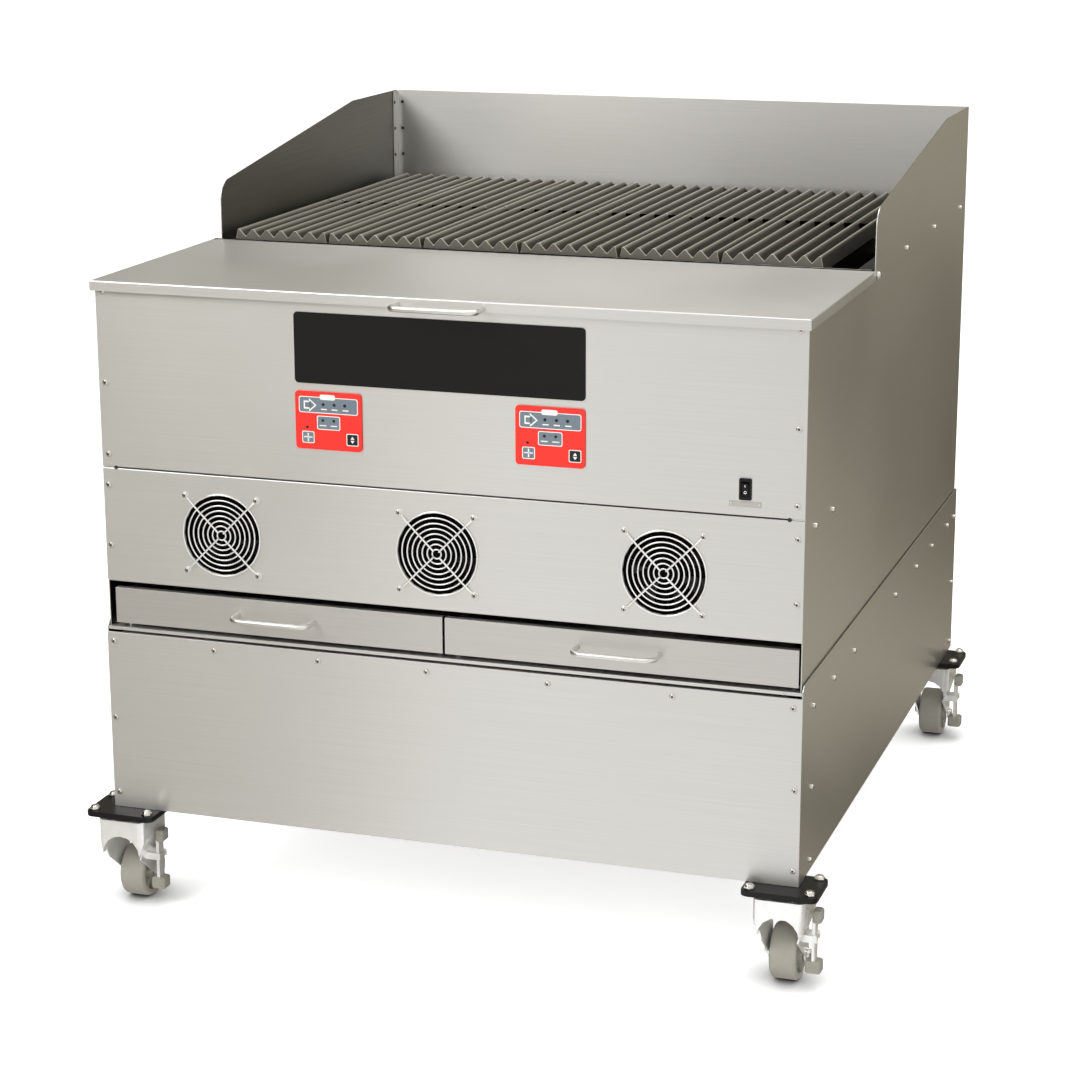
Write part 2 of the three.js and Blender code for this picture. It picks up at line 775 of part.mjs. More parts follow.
// Pellet feed: a double hopper over two augers, each in a tube that is open under the hopper.
const augerX = 250;
const tubeOuter = 38;
const tubeInner = 35;
const tubeFront = 44;
const tubeLift = 3;
const augerHeight = seamHeight + tubeLift + tubeOuter;
const burnPotInset = 216;
const burnPotSize = 160;
const burnPotHeight = 118;
const burnPotWall = 6;
const hopper = {
  sideGap: 39,
  front: 50,
  backGap: 29,
  rimBackGap: 5,
  rimDrop: 12.5,
  wallDrop: 40,
  ridgeDrop: 15,
  outletHalf: 32,
  outletRise: 24,
};
const hopperHalf = cabinetHalf - hopper.sideGap;
const hopperBack = splashFront - hopper.backGap;
const rimHeight = sideTopHeight - hopper.rimDrop;
const outletHeight = augerHeight + hopper.outletRise;

function hopperBin() {
  const outlet = [augerX - hopper.outletHalf, augerX + hopper.outletHalf];
  const section = (inset, beyond) => {
    const rise = inset * Math.SQRT2;
    const [wall, top] = [hopperHalf - inset, rimHeight + beyond];
    const [near, far] = [outlet[0] + inset, outlet[1] - inset];
    const bottom = outletHeight - beyond;
    const bend = outletHeight + rise;
    const shoulder = rimHeight - hopper.wallDrop + rise;
    return outline([
      [-wall, top],
      [-wall, shoulder],
      [-far, bend],
      [-far, bottom],
      [-near, bottom],
      [-near, bend],
      [0, rimHeight - hopper.ridgeDrop + rise],
      [near, bend],
      [near, bottom],
      [far, bottom],
      [far, bend],
      [wall, shoulder],
      [wall, top],
    ]);
  };
  const length = [hopper.front - overrun, hopperBack + overrun];
  const saddles = [-augerX, augerX].map((x) =>
    bar("y", tubeOuter + seat, length, [x, augerHeight], raceSides),
  );
  const rimHalf = skinInner - seat;
  const rim = block(
    [-rimHalf, rimHalf],
    [skinFront + sheet + seat, splashFront - hopper.rimBackGap],
    [rimHeight - sheet, rimHeight],
  );
  const outside = prismY(section(0, 0), [hopper.front, hopperBack]);
  const inside = prismY(section(sheet, overrun), [hopper.front + sheet, hopperBack - sheet]);
  return cut(join(outside, rim), inside, ...saddles);
}

// The gear motor that turns the auger is bolted to the front end of the tube.
const gearMotor = { half: 34, front: 12, socketStart: 20, can: 15, canTop: 86 };

function augerTube() {
  const centre = [0, 0];
  const window = hopper.outletHalf - sheet;
  const { half, front, can, canTop } = gearMotor;
  const tube = cut(
    bar("y", tubeOuter, [tubeFront, burnPotFront - seat], centre, raceSides),
    bar("y", tubeInner, [tubeFront + sheet, burnPotFront + overrun], centre, raceSides),
    block([-window, window], [hopper.front + sheet, hopperBack - sheet], [0, tubeOuter + overrun]),
  );
  return cut(
    join(
      tube,
      block([-half, half], [front, tubeFront + sheet / 2], [-half, half]),
      bar("z", can, [half - overrun, canTop], [0, (front + tubeFront) / 2], raceSides),
    ),
    bar("y", auger.shaft + auger.clearance, [gearMotor.socketStart, tubeFront + overrun], centre, raceSides),
  );
}

const auger = {
  shaft: 7,
  shaftSides: 4,
  clearance: 0.5,
  flight: 31,
  thickness: 3,
  pitch: 96,
  start: 54,
  endGap: 8,
  shaftStart: 24,
};
const augerStepsPerTurn = 6;

// The flight is a wedge-shaped sector that turns once per pitch as it runs along the shaft.
function augerScrew() {
  const length = burnPotFront - auger.endGap - auger.start;
  const steps = Math.round((length / auger.pitch) * augerStepsPerTurn);
  const sector = (auger.thickness / auger.pitch) * Math.PI * 2;
  const shaftPoints = Array.from({ length: auger.shaftSides - 1 }, (_, index) => {
    const turn = sector / 2 + ((Math.PI * 2 - sector) * (index + 1)) / auger.shaftSides;
    return [auger.shaft * Math.cos(turn), auger.shaft * Math.sin(turn)];
  });
  const corner = (radius, turn) => [radius * Math.cos(turn), radius * Math.sin(turn)];
  const shape = outline([
    corner(auger.shaft, -sector / 2),
    corner(auger.flight, -sector / 2),
    corner(auger.flight, sector / 2),
    corner(auger.shaft, sector / 2),
    ...shaftPoints,
  ]);
  const geometry = extruded(shape, length, 1, steps);
  const position = geometry.attributes.position;
  const point = new THREE.Vector3();
  for (let index = 0; index < position.count; index += 1) {
    point.fromBufferAttribute(position, index);
    point.applyAxisAngle(zAxis, (point.z / auger.pitch) * Math.PI * 2);
    position.setXYZ(index, point.x, point.y, point.z);
  }
  geometry.rotateX(-Math.PI / 2).translate(0, auger.start, 0);
  const screw = toSolid(geometry);
  return join(screw, bar("y", auger.shaft, [auger.shaftStart, auger.start + sheet], [0, 0], raceSides));
}

// Cooking grates: six iron castings side by side, each of seven ridges with slotted gutters between.
const grate = {
  count: 6,
  gap: 0.4,
  sideSeat: 2,
  spareGap: 51,
  frontSeat: 1.5,
  backSeat: 5.5,
  height: 21.7,
  ridges: 7,
  margin: 12.5,
  tipHalf: 1.5,
  gutterHalf: 5.2,
  gutterFloor: 8,
  slotHalf: 3.5,
  endBar: 16,
  damWidth: 5,
  damHeight: 14,
  damSag: 2.5,
  notch: 4,
  notchDepth: 3,
};

const firebox = {
  sideGap: 19,
  frontGap: 3,
  backGap: 18,
  depth: 260,
  wall: 3,
  ledge: 15,
  slotInner: 60,
  slotMargin: 30,
  slotEndMargin: 36,
  frontSlotWidth: 120,
  backSlotWidth: 220,
  railDepth: 24,
  railHeight: 22,
};
const fireboxHalf = cabinetHalf - firebox.sideGap;
const fireboxFront = splashFront + firebox.frontGap;
const fireboxBack = cabinetDepth - firebox.backGap;
const fireboxFloor = grateFloorHeight - firebox.depth;
const burnPotFront = fireboxFront + burnPotInset;
const grateLeft = grate.sideSeat - fireboxHalf;
const gratePitch = (-2 * grateLeft - grate.spareGap) / grate.count;
const grateFront = fireboxFront - grate.frontSeat;
const grateLength = fireboxBack - grate.backSeat - grateFront;
const ridgePitch = (gratePitch - grate.margin) / (grate.ridges - 1);

function fireboxShell() {
  const { wall } = firebox;
  const [half, front, back, floor] = [fireboxHalf, fireboxFront, fireboxBack, fireboxFloor];
  const flangeHalf = skinInner - seat;
  const inside = block(
    [-half + wall, half - wall],
    [front + wall, back - wall],
    [floor + wall, grateFloorHeight - wall],
  );
  const mouth = block(
    [-half + firebox.ledge, half - firebox.ledge],
    [front + firebox.ledge, back - firebox.ledge],
    [floor + wall, grateFloorHeight + overrun],
  );
  const slotOuter = half - firebox.slotMargin;
  const [slotFront, slotBack] = [front + firebox.slotEndMargin, back - firebox.slotEndMargin];
  const slotSpans = [
    [slotFront, slotFront + firebox.frontSlotWidth],
    [slotBack - firebox.backSlotWidth, slotBack],
  ];
  const slots = [-1, 1].flatMap((side) =>
    slotSpans.map((span) =>
      block(
        side > 0 ? [firebox.slotInner, slotOuter] : [-slotOuter, -firebox.slotInner],
        span,
        [floor - overrun, floor + wall + overrun],
      ),
    ),
  );
  const tubeHoles = [-1, 1].map((side) =>
    bar(
      "y",
      tubeOuter + 2 * seat,
      [front - overrun, front + wall + overrun],
      [side * augerX, augerHeight],
      raceSides,
    ),
  );
  const shell = cut(
    join(
      block([-half, half], [front, back], [floor, grateFloorHeight]),
      block(
        [-flangeHalf, flangeHalf],
        [splashFront + sheet, cabinetDepth - flangeWidth - seat],
        [grateFloorHeight - wall, grateFloorHeight],
      ),
    ),
    inside,
    mouth,
    ...slots,
    ...tubeHoles,
  );
  // A cross rail is welded in between the side walls, under the middle of the grates.
  const railMiddle = grateFront + grateLength / 2;
  const rail = block(
    [wall / 2 - half, half - wall / 2],
    [railMiddle - firebox.railDepth / 2, railMiddle + firebox.railDepth / 2],
    [grateFloorHeight - firebox.railHeight, grateFloorHeight],
  );
  return join(shell, rail);
}

// Burn pots: open cast boxes with air slots, fed through a round inlet in the front wall.
function burnPot() {
  const half = burnPotSize / 2;
  const airSlot = { half: 4, bottom: 20, top: 45, spacing: 40 };
  const slots = [-1, 0, 1].map((step) =>
    block(
      [-half - overrun, half + overrun],
      [half + step * airSlot.spacing - airSlot.half, half + step * airSlot.spacing + airSlot.half],
      [airSlot.bottom, airSlot.top],
    ),
  );
  const inlet = bar(
    "y",
    tubeInner,
    [-overrun, burnPotWall + overrun],
    [0, augerHeight - fireboxFloor - firebox.wall - seat],
    roundSides,
  );
  return cut(
    block([-half, half], [0, burnPotSize], [0, burnPotHeight]),
    block(
      [-half + burnPotWall, half - burnPotWall],
      [burnPotWall, burnPotSize - burnPotWall],
      [burnPotWall, burnPotHeight + overrun],
    ),
    inlet,
    ...slots,
  );
}

// Flame deflectors: a roof of folded plate on four legs over each burn pot.
const deflector = { half: 112, length: 260, eaves: 150, ridge: 195, plate: 3, leg: 18 };

function flameDeflector() {
  const { half, length, eaves, ridge, plate, leg } = deflector;
  const roof = outline([
    [-half, eaves],
    [-half, eaves - plate],
    [0, ridge - plate],
    [half, eaves - plate],
    [half, eaves],
    [0, ridge],
  ]);
  const legTop = eaves - plate / 2;
  const legs = [-1, 1].flatMap((side) =>
    [-1, 1].map((end) => {
      const [outer, inner] = [side * half, side * (half - plate)];
      const [tip, root] = [(end * length) / 2, (end * length) / 2 - end * leg];
      return block(
        [Math.min(outer, inner), Math.max(outer, inner)],
        [Math.min(tip, root), Math.max(tip, root)],
        [0, legTop],
      );
    }),
  );
  return join(prismY(roof, [-length / 2, length / 2]), ...legs);
}

addPiece(cabinet, "hopper", hopperBin(), darkSteel());
["left", "right"].forEach((hand, index) => {
  const x = (2 * index - 1) * augerX;
  addPiece(cabinet, `${hand}_auger_tube`, augerTube(), darkSteel(), [x, 0, augerHeight]);
  addPiece(cabinet, `${hand}_auger`, augerScrew(), darkSteel(), [x, 0, augerHeight]);
});
addPiece(cabinet, "firebox", fireboxShell(), darkSteel());
const fireboxFloorTop = fireboxFloor + firebox.wall + seat;
["left", "right"].forEach((hand, index) => {
  const x = (2 * index - 1) * augerX;
  const potMiddle = burnPotFront + burnPotSize / 2;
  addPiece(cabinet, `${hand}_burn_pot`, burnPot(), castIron(), [x, burnPotFront, fireboxFloorTop]);
  addPiece(cabinet, `${hand}_flame_deflector`, flameDeflector(), darkSteel(), [x, potMiddle, fireboxFloorTop]);
});

// Cooking grates: the gutters have long slots, low dams close them at both ends and halfway, and a
// notch crosses the ridges at mid-depth.
function grateSection(gutter) {
  const half = (gratePitch - grate.gap) / 2;
  const first = (-(grate.ridges - 1) / 2) * ridgePitch;
  const top = [];
  for (let index = 0; index < grate.ridges; index += 1) {
    const ridge = first + index * ridgePitch;
    top.push([ridge - grate.tipHalf, grate.height], [ridge + grate.tipHalf, grate.height]);
    if (index < grate.ridges - 1) {
      top.push(...gutter.map(([across, height]) => [ridge + ridgePitch / 2 + across, height]));
    }
  }
  return outline([...top, [half, 0], [-half, 0]].reverse());
}

function grateCasting() {
  const { gutterHalf, gutterFloor, damHeight, damSag, damWidth } = grate;
  const open = grateSection([
    [-gutterHalf, gutterFloor],
    [gutterHalf, gutterFloor],
  ]);
  const dammed = grateSection([
    [-gutterHalf / 2, damHeight],
    [0, damHeight - damSag],
    [gutterHalf / 2, damHeight],
  ]);
  const middleY = grateLength / 2;
  const dams = [
    [0, damWidth],
    [middleY, middleY + damWidth],
    [grateLength - damWidth, grateLength],
  ].map((span) => prismY(dammed, span));
  const half = (gratePitch - grate.gap) / 2;
  const first = (-(grate.ridges - 1) / 2) * ridgePitch;
  const slots = [];
  for (let index = 0; index < grate.ridges - 1; index += 1) {
    const x = first + (index + 0.5) * ridgePitch;
    slots.push(
      block(
        [x - grate.slotHalf, x + grate.slotHalf],
        [grate.endBar, grateLength - grate.endBar],
        [-overrun, grate.gutterFloor + overrun / 2],
      ),
    );
  }
  const notch = block(
    [-half - overrun, half + overrun],
    [middleY - grate.notch, middleY],
    [grate.height - grate.notchDepth, grate.height + overrun],
  );
  return cut(join(prismY(open, [0, grateLength]), ...dams), ...slots, notch);
}

for (let index = 0; index < grate.count; index += 1) {
  const x = grateLeft + (index + 0.5) * gratePitch;
  const place = [x, grateFront, grateFloorHeight + seat];
  addPiece(cabinet, `grate_${index + 1}`, grateCasting(), castIron(), place);
}

// Castors: a bolted top plate, a swivelling fork, a wheel on its axle, and a two-ended brake lever.
const castor = {
  inset: 20,
  frontY: 4,
  backInset: 58,
  plateLength: 102,
  plateDepth: 78,
  plateThickness: 8,
  plateCorner: 10,
  boltX: 40,
  boltY: 28.5,
  nutRadius: 8,
  nutHeight: 7,
  raceRadius: 30,
  kingpin: 6,
  clearance: 0.4,
  trail: 30,
  wheelRadius: 37.5,
  wheelHalf: 18.5,
  treadRound: 5,
  hubRadius: 12,
  hubHalf: 22.2,
  webHalf: 9,
  rimInner: 27,
  axle: 4,
  forkInner: 23,
  forkWall: 2.5,
  forkTop: 130.5,
  forkHalfDepth: 36,
  hoodFront: 34,
  hoodHalf: 35,
  hoodLow: 104,
  hoodCorner: 10,
  archRadius: 28,
  archHeight: 80,
  legTop: 72,
  legHalf: 11,
  headThickness: 4,
  headRadius: 7,
};
const brake = {
  y: 6,
  half: 8,
  plate: 2.5,
  pivotHeight: 72,
  pivotOut: 5.5,
  pin: 2.2,
  earHalf: 5,
  top: 30,
  bottom: 38,
  topTab: 8.5,
  bottomTab: 8.5,
  grip: 9,
};
const plateUnderside = castorHeight - seat - castor.plateThickness;

function castorPlate(standsOutInFront) {
  const corners = [-1, 1].flatMap((sx) => [-1, 1].map((sy) => [sx * castor.boltX, sy * castor.boltY]));
  const plateTop = castorHeight - seat;
  const plate = cut(
    prismZ(
      roundedRectangle(castor.plateLength, castor.plateDepth, castor.plateCorner),
      [plateUnderside, plateTop],
      2,
    ),
    bar("z", castor.kingpin + castor.clearance, [0, castorHeight], [0, 0], raceSides),
  );
  // Dome nuts: on top where the plate stands out past the base, below it where the base covers it.
  const nuts = corners.map(([x, y]) => {
    const outside = x > 0 || (standsOutInFront && y < 0);
    const span = outside
      ? [plateTop - sheet, plateTop + castor.nutHeight]
      : [plateUnderside - castor.nutHeight / 2, plateUnderside + sheet];
    return bar("z", castor.nutRadius, span, [x, y], boltSides);
  });
  return join(plate, ...nuts);
}

// The hood's outline from above: straight cheeks with a front wall round the wheel, open at the back.
function hoodPlan(half, front, corner) {
  const depth = front + castor.forkHalfDepth + 2 * corner;
  return prismZ(roundedRectangle(2 * half, depth, corner), [0, castorHeight], 3).translate([
    0,
    depth / 2 - front,
    0,
  ]);
}

// The hood's outline from the front: wide under the swivel race, drawn in to the two legs.
function hoodTaper(hoodHalf, legHalf, top) {
  return prismY(
    outline([
      [-legHalf, 0],
      [legHalf, 0],
      [legHalf, castor.legTop],
      [hoodHalf, castor.hoodLow],
      [hoodHalf, top],
      [-hoodHalf, top],
      [-hoodHalf, castor.hoodLow],
      [-legHalf, castor.legTop],
    ]),
    [-castorHeight, castorHeight],
  );
}

function castorFork() {
  const { forkInner, forkWall, forkTop, forkHalfDepth, hoodFront, hoodHalf, hoodCorner } = castor;
  const { archRadius, archHeight, legHalf, raceRadius, headThickness, wheelRadius: wheelZ } = castor;
  const axleCentre = [castor.trail, wheelZ];
  const outer = forkInner + forkWall;
  const side = new THREE.Shape();
  side.moveTo(forkHalfDepth, forkTop);
  side.lineTo(-hoodFront, forkTop);
  side.lineTo(-hoodFront, archHeight);
  side.lineTo(castor.trail - legHalf, wheelZ);
  side.absarc(castor.trail, wheelZ, legHalf, Math.PI, Math.PI * 2);
  side.lineTo(forkHalfDepth, forkTop - 2 * legHalf);
  const hood = prismX(side, [-hoodHalf, hoodHalf], 3)
    .intersect(hoodPlan(hoodHalf, hoodFront, hoodCorner))
    .intersect(hoodTaper(hoodHalf, outer, forkTop));
  const roof = forkTop - forkWall;
  const room = hoodPlan(hoodHalf - forkWall, hoodFront - forkWall, hoodCorner - forkWall)
    .translate([0, 0, roof - castorHeight])
    .intersect(hoodTaper(hoodHalf - forkWall, forkInner, roof));
  const wallDepth = [-hoodFront - overrun, hoodCorner - hoodFront];
  const arch = join(
    bar("y", archRadius, wallDepth, [0, archHeight]),
    block([-archRadius, archRadius], wallDepth, [0, archHeight]),
  );
  const pivotX = hoodHalf + brake.pivotOut;
  const ears = [-1, 1].map((end) => {
    const [near, far] = [brake.half + seat, brake.half + seat + forkWall];
    return block(
      [outer - sheet, pivotX + brake.earHalf],
      end > 0 ? [brake.y + near, brake.y + far] : [brake.y - far, brake.y - near],
      [brake.pivotHeight - brake.earHalf, brake.pivotHeight + brake.earHalf],
    );
  });
  const earReach = brake.half + seat + forkWall;
  return join(
    cut(hood, room, arch),
    bar("z", raceRadius, [forkTop - sheet, plateUnderside - seat], [0, 0], raceSides),
    bar("z", castor.kingpin, [forkTop - sheet, castorHeight - 2 * sheet], [0, 0], raceSides),
    bar("x", castor.axle, [-outer, outer], axleCentre, boltSides),
    bar("x", castor.headRadius, [outer - sheet, outer + headThickness], axleCentre, boltSides),
    bar("x", castor.headRadius, [-outer - headThickness, sheet - outer], axleCentre, boltSides),
    bar("y", brake.pin, [brake.y - earReach, brake.y + earReach], [pivotX, brake.pivotHeight], boltSides),
    ...ears,
  );
}

function castorWheel() {
  const { wheelRadius, wheelHalf, treadRound, rimInner, webHalf, hubRadius, hubHalf } = castor;
  const bore = castor.axle + castor.clearance;
  const half = [
    [bore, hubHalf],
    [hubRadius, hubHalf],
    [rimInner, webHalf],
    [rimInner, wheelHalf],
    [wheelRadius - treadRound, wheelHalf],
    [wheelRadius, wheelHalf - treadRound],
  ];
  const otherHalf = half.map(([radius, along]) => [radius, -along]).reverse();
  return revolved([...half, ...otherHalf, half[0]].reverse(), "x", roundSides).translate([
    0,
    castor.trail,
    wheelRadius,
  ]);
}

// The lever is a cranked strip with a foot pad at each end; either pad rocks it about its pin.
function brakeLever() {
  const x = castor.hoodHalf + brake.pivotOut;
  const [inner, outer] = [x - brake.earHalf / 2, x + brake.earHalf / 2];
  const [top, bottom] = [brake.pivotHeight + brake.top, brake.pivotHeight - brake.bottom];
  const strip = outline([
    [inner, bottom],
    [inner + brake.bottomTab, bottom - brake.plate],
    [inner + brake.bottomTab, bottom + brake.plate],
    [outer, bottom + 2 * brake.plate],
    [outer, top - 2 * brake.plate],
    [inner + brake.topTab, top - brake.plate],
    [inner + brake.topTab, top + brake.plate],
    [inner, top],
  ]);
  const pad = (tab, z) =>
    block(
      [inner + tab - brake.grip / 2, inner + tab + brake.grip / 2],
      [brake.y - brake.half, brake.y + brake.half],
      [z - brake.grip, z + brake.grip],
    );
  const pivot = [x, brake.pivotHeight];
  const width = [brake.y - brake.half, brake.y + brake.half];
  return cut(
    join(
      prismY(strip, width),
      bar("y", brake.earHalf, width, pivot, boltSides),
      pad(brake.topTab, top),
      pad(brake.bottomTab, bottom),
    ),
    bar("y", brake.pin + castor.clearance, [width[0] - overrun, width[1] + overrun], pivot, boltSides),
  );
}

const castorX = baseHalf - castor.inset;
const castorPlaces = [
  ["front_left", -castorX, castor.frontY],
  ["front_right", castorX, castor.frontY],
  ["back_left", -castorX, cabinetDepth - castor.backInset],
  ["back_right", castorX, cabinetDepth - castor.backInset],
];
castorPlaces.forEach(([corner, x, y]) => {
  const facingRight = castorPlate(y < cabinetDepth / 2);
  const plate = x > 0 ? facingRight : mirrored(facingRight);
  addPiece(standing, `${corner}_castor_plate`, plate, blackPaint(), [x, y, 0]);
  addPiece(standing, `${corner}_castor_fork`, castorFork(), polishedSteel(), [x, y, 0]);
  addPiece(standing, `${corner}_wheel`, castorWheel(), greyTread(), [x, y, 0]);
  addPiece(standing, `${corner}_brake_lever`, brakeLever(), greyGrip(), [x, y, 0]);
});

// The frame's origin is on the floor under the middle of the whole machine's outline.
const reach = new THREE.Box3().setFromObject(charbroiler);
standing.position.set(-(reach.min.x + reach.max.x) / 2, -(reach.min.y + reach.max.y) / 2, -reach.min.z);

export default charbroiler;
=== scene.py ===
"""Wood-fired charbroiler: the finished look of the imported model, on a pale studio floor."""

import math

import bpy
from mathutils import Matrix, Vector


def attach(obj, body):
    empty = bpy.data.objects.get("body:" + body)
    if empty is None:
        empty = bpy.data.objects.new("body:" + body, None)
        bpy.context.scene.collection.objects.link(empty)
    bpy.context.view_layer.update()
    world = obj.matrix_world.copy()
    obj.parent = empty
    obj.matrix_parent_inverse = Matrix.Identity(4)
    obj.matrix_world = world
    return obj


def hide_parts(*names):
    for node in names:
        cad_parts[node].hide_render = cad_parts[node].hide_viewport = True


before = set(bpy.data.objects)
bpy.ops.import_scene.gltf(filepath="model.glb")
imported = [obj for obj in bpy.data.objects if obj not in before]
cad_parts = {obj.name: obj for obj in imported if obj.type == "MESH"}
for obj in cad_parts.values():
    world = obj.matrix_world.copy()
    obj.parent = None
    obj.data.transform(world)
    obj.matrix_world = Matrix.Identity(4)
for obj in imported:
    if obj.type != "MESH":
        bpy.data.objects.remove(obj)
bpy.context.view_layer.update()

MM = 0.001
QUARTER = math.pi / 2
# The cabinet's front face and the base's underside, in millimetres of the frame.
FRONT_FACE = -540.6
BASE_UNDERSIDE = 143.0
# The middles of the three fans, and how far a fan's moulded frame reaches from its middle.
FAN_MIDDLES = (-314.0, -4.0, 306.0)
FAN_HEIGHT = 406.6
FAN_FRAME_REACH = 62
# Points closer than this, in metres, are one point.
MERGE_GAP = 0.00002


def at(x, y, z):
    """Millimetres from the cabinet's front face and the base's underside, as a place in the frame."""
    return Vector((x, y + FRONT_FACE, z + BASE_UNDERSIDE)) * MM


def cabinet_place(point):
    """A place in the frame, as millimetres from the cabinet's front face and the base's underside."""
    return point.x / MM, point.y / MM - FRONT_FACE, point.z / MM - BASE_UNDERSIDE


# Working by hand: what is selected, and what a finished piece needs.


def leave():
    bpy.ops.object.mode_set(mode="OBJECT")


def pick(*pieces):
    """Selects only these pieces and makes the first one active."""
    bpy.ops.object.select_all(action="DESELECT")
    for piece in pieces:
        piece.select_set(True)
    bpy.context.view_layer.objects.active = pieces[0]
    return pieces[0]


def new_piece():
    return pick(bpy.context.active_object)


def choose(piece, faces=None, edges=None):
    """Selects the faces or edges whose place passes the test, and stays in edit mode with them."""
    leave()
    pick(piece)
    mesh = piece.data
    for group in (mesh.vertices, mesh.edges, mesh.polygons):
        group.foreach_set("select", [False] * len(group))
    if faces:
        for face in mesh.polygons:
            face.select = bool(faces(face.center, face.normal))
    else:
        for edge in mesh.edges:
            start, end = (mesh.vertices[i].co for i in edge.vertices)
            edge.select = bool(edges((start + end) / 2, end - start))
    bpy.ops.object.mode_set(mode="EDIT")
    bpy.ops.mesh.select_mode(type="FACE" if faces else "EDGE")


def choose_all():
    """Goes into edit mode on the active piece with everything selected."""
    bpy.ops.object.mode_set(mode="EDIT")
    bpy.ops.mesh.select_all(action="SELECT")


def pull(x=0.0, y=0.0, z=0.0):
    """Extrudes what is selected by the given millimetres."""
    bpy.ops.mesh.extrude_region_move(TRANSFORM_OT_translate={"value": (x * MM, y * MM, z * MM)})


def settle(piece):
    """Puts the piece's place, turn and size into its mesh."""
    leave()
    pick(piece)
    bpy.ops.object.transform_apply(location=True, rotation=True, scale=True)


def tidy_normals(piece):
    """Merges doubled points and turns every face outward."""
    leave()
    pick(piece)
    choose_all()
    bpy.ops.mesh.remove_doubles(threshold=MERGE_GAP)
    bpy.ops.mesh.normals_make_consistent(inside=False)
    leave()


def break_edges(piece, width, segments=2, angle=30.0):
    """Takes the sharpness off the edges, as a deburred sheet or a cast part has it."""
    leave()
    pick(piece)
    bpy.ops.object.modifier_add(type="BEVEL")
    bevel = piece.modifiers[-1]
    bevel.width = width * MM
    bevel.segments = segments
    bevel.limit_method = "ANGLE"
    bevel.angle_limit = math.radians(angle)
    bpy.ops.object.modifier_apply(modifier=bevel.name)


def fold_edge(piece, edges, radius, segments):
    """Rounds the chosen edges, as a press brake or a turning tool leaves them."""
    choose(piece, edges=edges)
    bpy.ops.mesh.bevel(offset=radius * MM, segments=segments, affect="EDGES")
    leave()


def smooth(piece, angle=35.0):
    """Shades the small rounds smooth and keeps the large faces beside them flat."""
    leave()
    pick(piece)
    bpy.ops.object.shade_smooth_by_angle(angle=math.radians(angle))
    bpy.ops.object.modifier_add(type="WEIGHTED_NORMAL")
    weighted = piece.modifiers[-1]
    weighted.keep_sharp = True
    bpy.ops.object.modifier_apply(modifier=weighted.name)


def finish_piece(piece, name, body, material, stands_for=()):
    """Names the piece, gives it its material, and fastens it to its body."""
    leave()
    piece.name = name
    piece.data.name = name
    piece.data.materials.clear()
    piece.data.materials.append(material)
    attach(piece, body)
    if stands_for:
        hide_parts(*stands_for)
    return piece


def face_material(piece, material, faces):
    """Gives the chosen faces a second material."""
    piece.data.materials.append(material)
    for face in piece.data.polygons:
        if faces(face.center, face.normal):
            face.material_index = len(piece.data.materials) - 1


def merge_into(pieces, name):
    """Joins the pieces into the first of them."""
    leave()
    pick(*pieces)
    if len(pieces) > 1:
        bpy.ops.object.join()
    whole = bpy.context.active_object
    whole.name = name
    settle(whole)
    return whole


def copy_at(master, place, turn=0.0):
    """A copy of a modelled piece with its own mesh, moved and turned about its upright axis."""
    pick(master)
    bpy.ops.object.duplicate()
    copy = bpy.context.active_object
    copy.matrix_world = Matrix.Translation(place) @ Matrix.Rotation(turn, 4, "Z") @ master.matrix_world
    return copy


def set_down(master, place):
    """One copy of a modelled piece, with its place put into its mesh."""
    copy = copy_at(master, place)
    settle(copy)
    return copy


def spread(master, places, name):
    """Copies a piece to each place and turn, and joins the copies."""
    return merge_into([copy_at(master, place, turn) for place, turn in places], name)


def drop(*pieces):
    """Deletes modelled pieces that are only copied from."""
    pick(*pieces)
    bpy.ops.object.delete()


def solid_copy(node):
    """A merged copy of one of the model's solids, with its flat faces whole."""
    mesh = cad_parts[node].data.copy()
    piece = bpy.data.objects.new(node + "_finished", mesh)
    bpy.context.collection.objects.link(piece)
    pick(piece)
    choose_all()
    bpy.ops.mesh.remove_doubles(threshold=MERGE_GAP)
    bpy.ops.mesh.dissolve_limited(angle_limit=math.radians(0.6))
    leave()
    return piece


def block(x, y, z, corner=0.0, edge=0.0):
    """A block between the given sides, with its upright corners rounded and then all its edges."""
    middle = [(low + high) / 2 * MM for low, high in (x, y, z)]
    bpy.ops.mesh.primitive_cube_add(size=1, location=middle)
    piece = new_piece()
    piece.scale = [(high - low) * MM for low, high in (x, y, z)]
    settle(piece)
    if corner:
        fold_edge(piece, lambda place, run: abs(run.z) > 0.5 * (z[1] - z[0]) * MM, corner, 5)
    if edge:
        break_edges(piece, edge)
    return piece


def turned(radius, length, place, axis, sides, edge=0.0):
    """A turned pin or disc with the edges of both ends broken; place is its middle."""
    turn = {"X": (0, QUARTER, 0), "Y": (QUARTER, 0, 0), "Z": (0, 0, 0)}[axis]
    bpy.ops.mesh.primitive_cylinder_add(
        vertices=sides,
        radius=radius * MM,
        depth=length * MM,
        location=[value * MM for value in place],
        rotation=turn,
    )
    piece = new_piece()
    settle(piece)
    if edge:
        break_edges(piece, edge, angle=60)
    return piece


# Materials


def linear(code):
    """An sRGB hex colour as the linear colour that the shader takes."""
    shares = [int(code[i : i + 2], 16) / 255 for i in (0, 2, 4)]
    return tuple(s / 12.92 if s <= 0.04045 else ((s + 0.055) / 1.055) ** 2.4 for s in shares) + (1.0,)


def feed(tree, made, values=None, links=None):
    """Sets a node's socket values and joins its incoming links."""
    for socket, value in (values or {}).items():
        made.inputs[socket].default_value = value
    for socket, source in (links or {}).items():
        tree.links.new(source, made.inputs[socket])
    return made


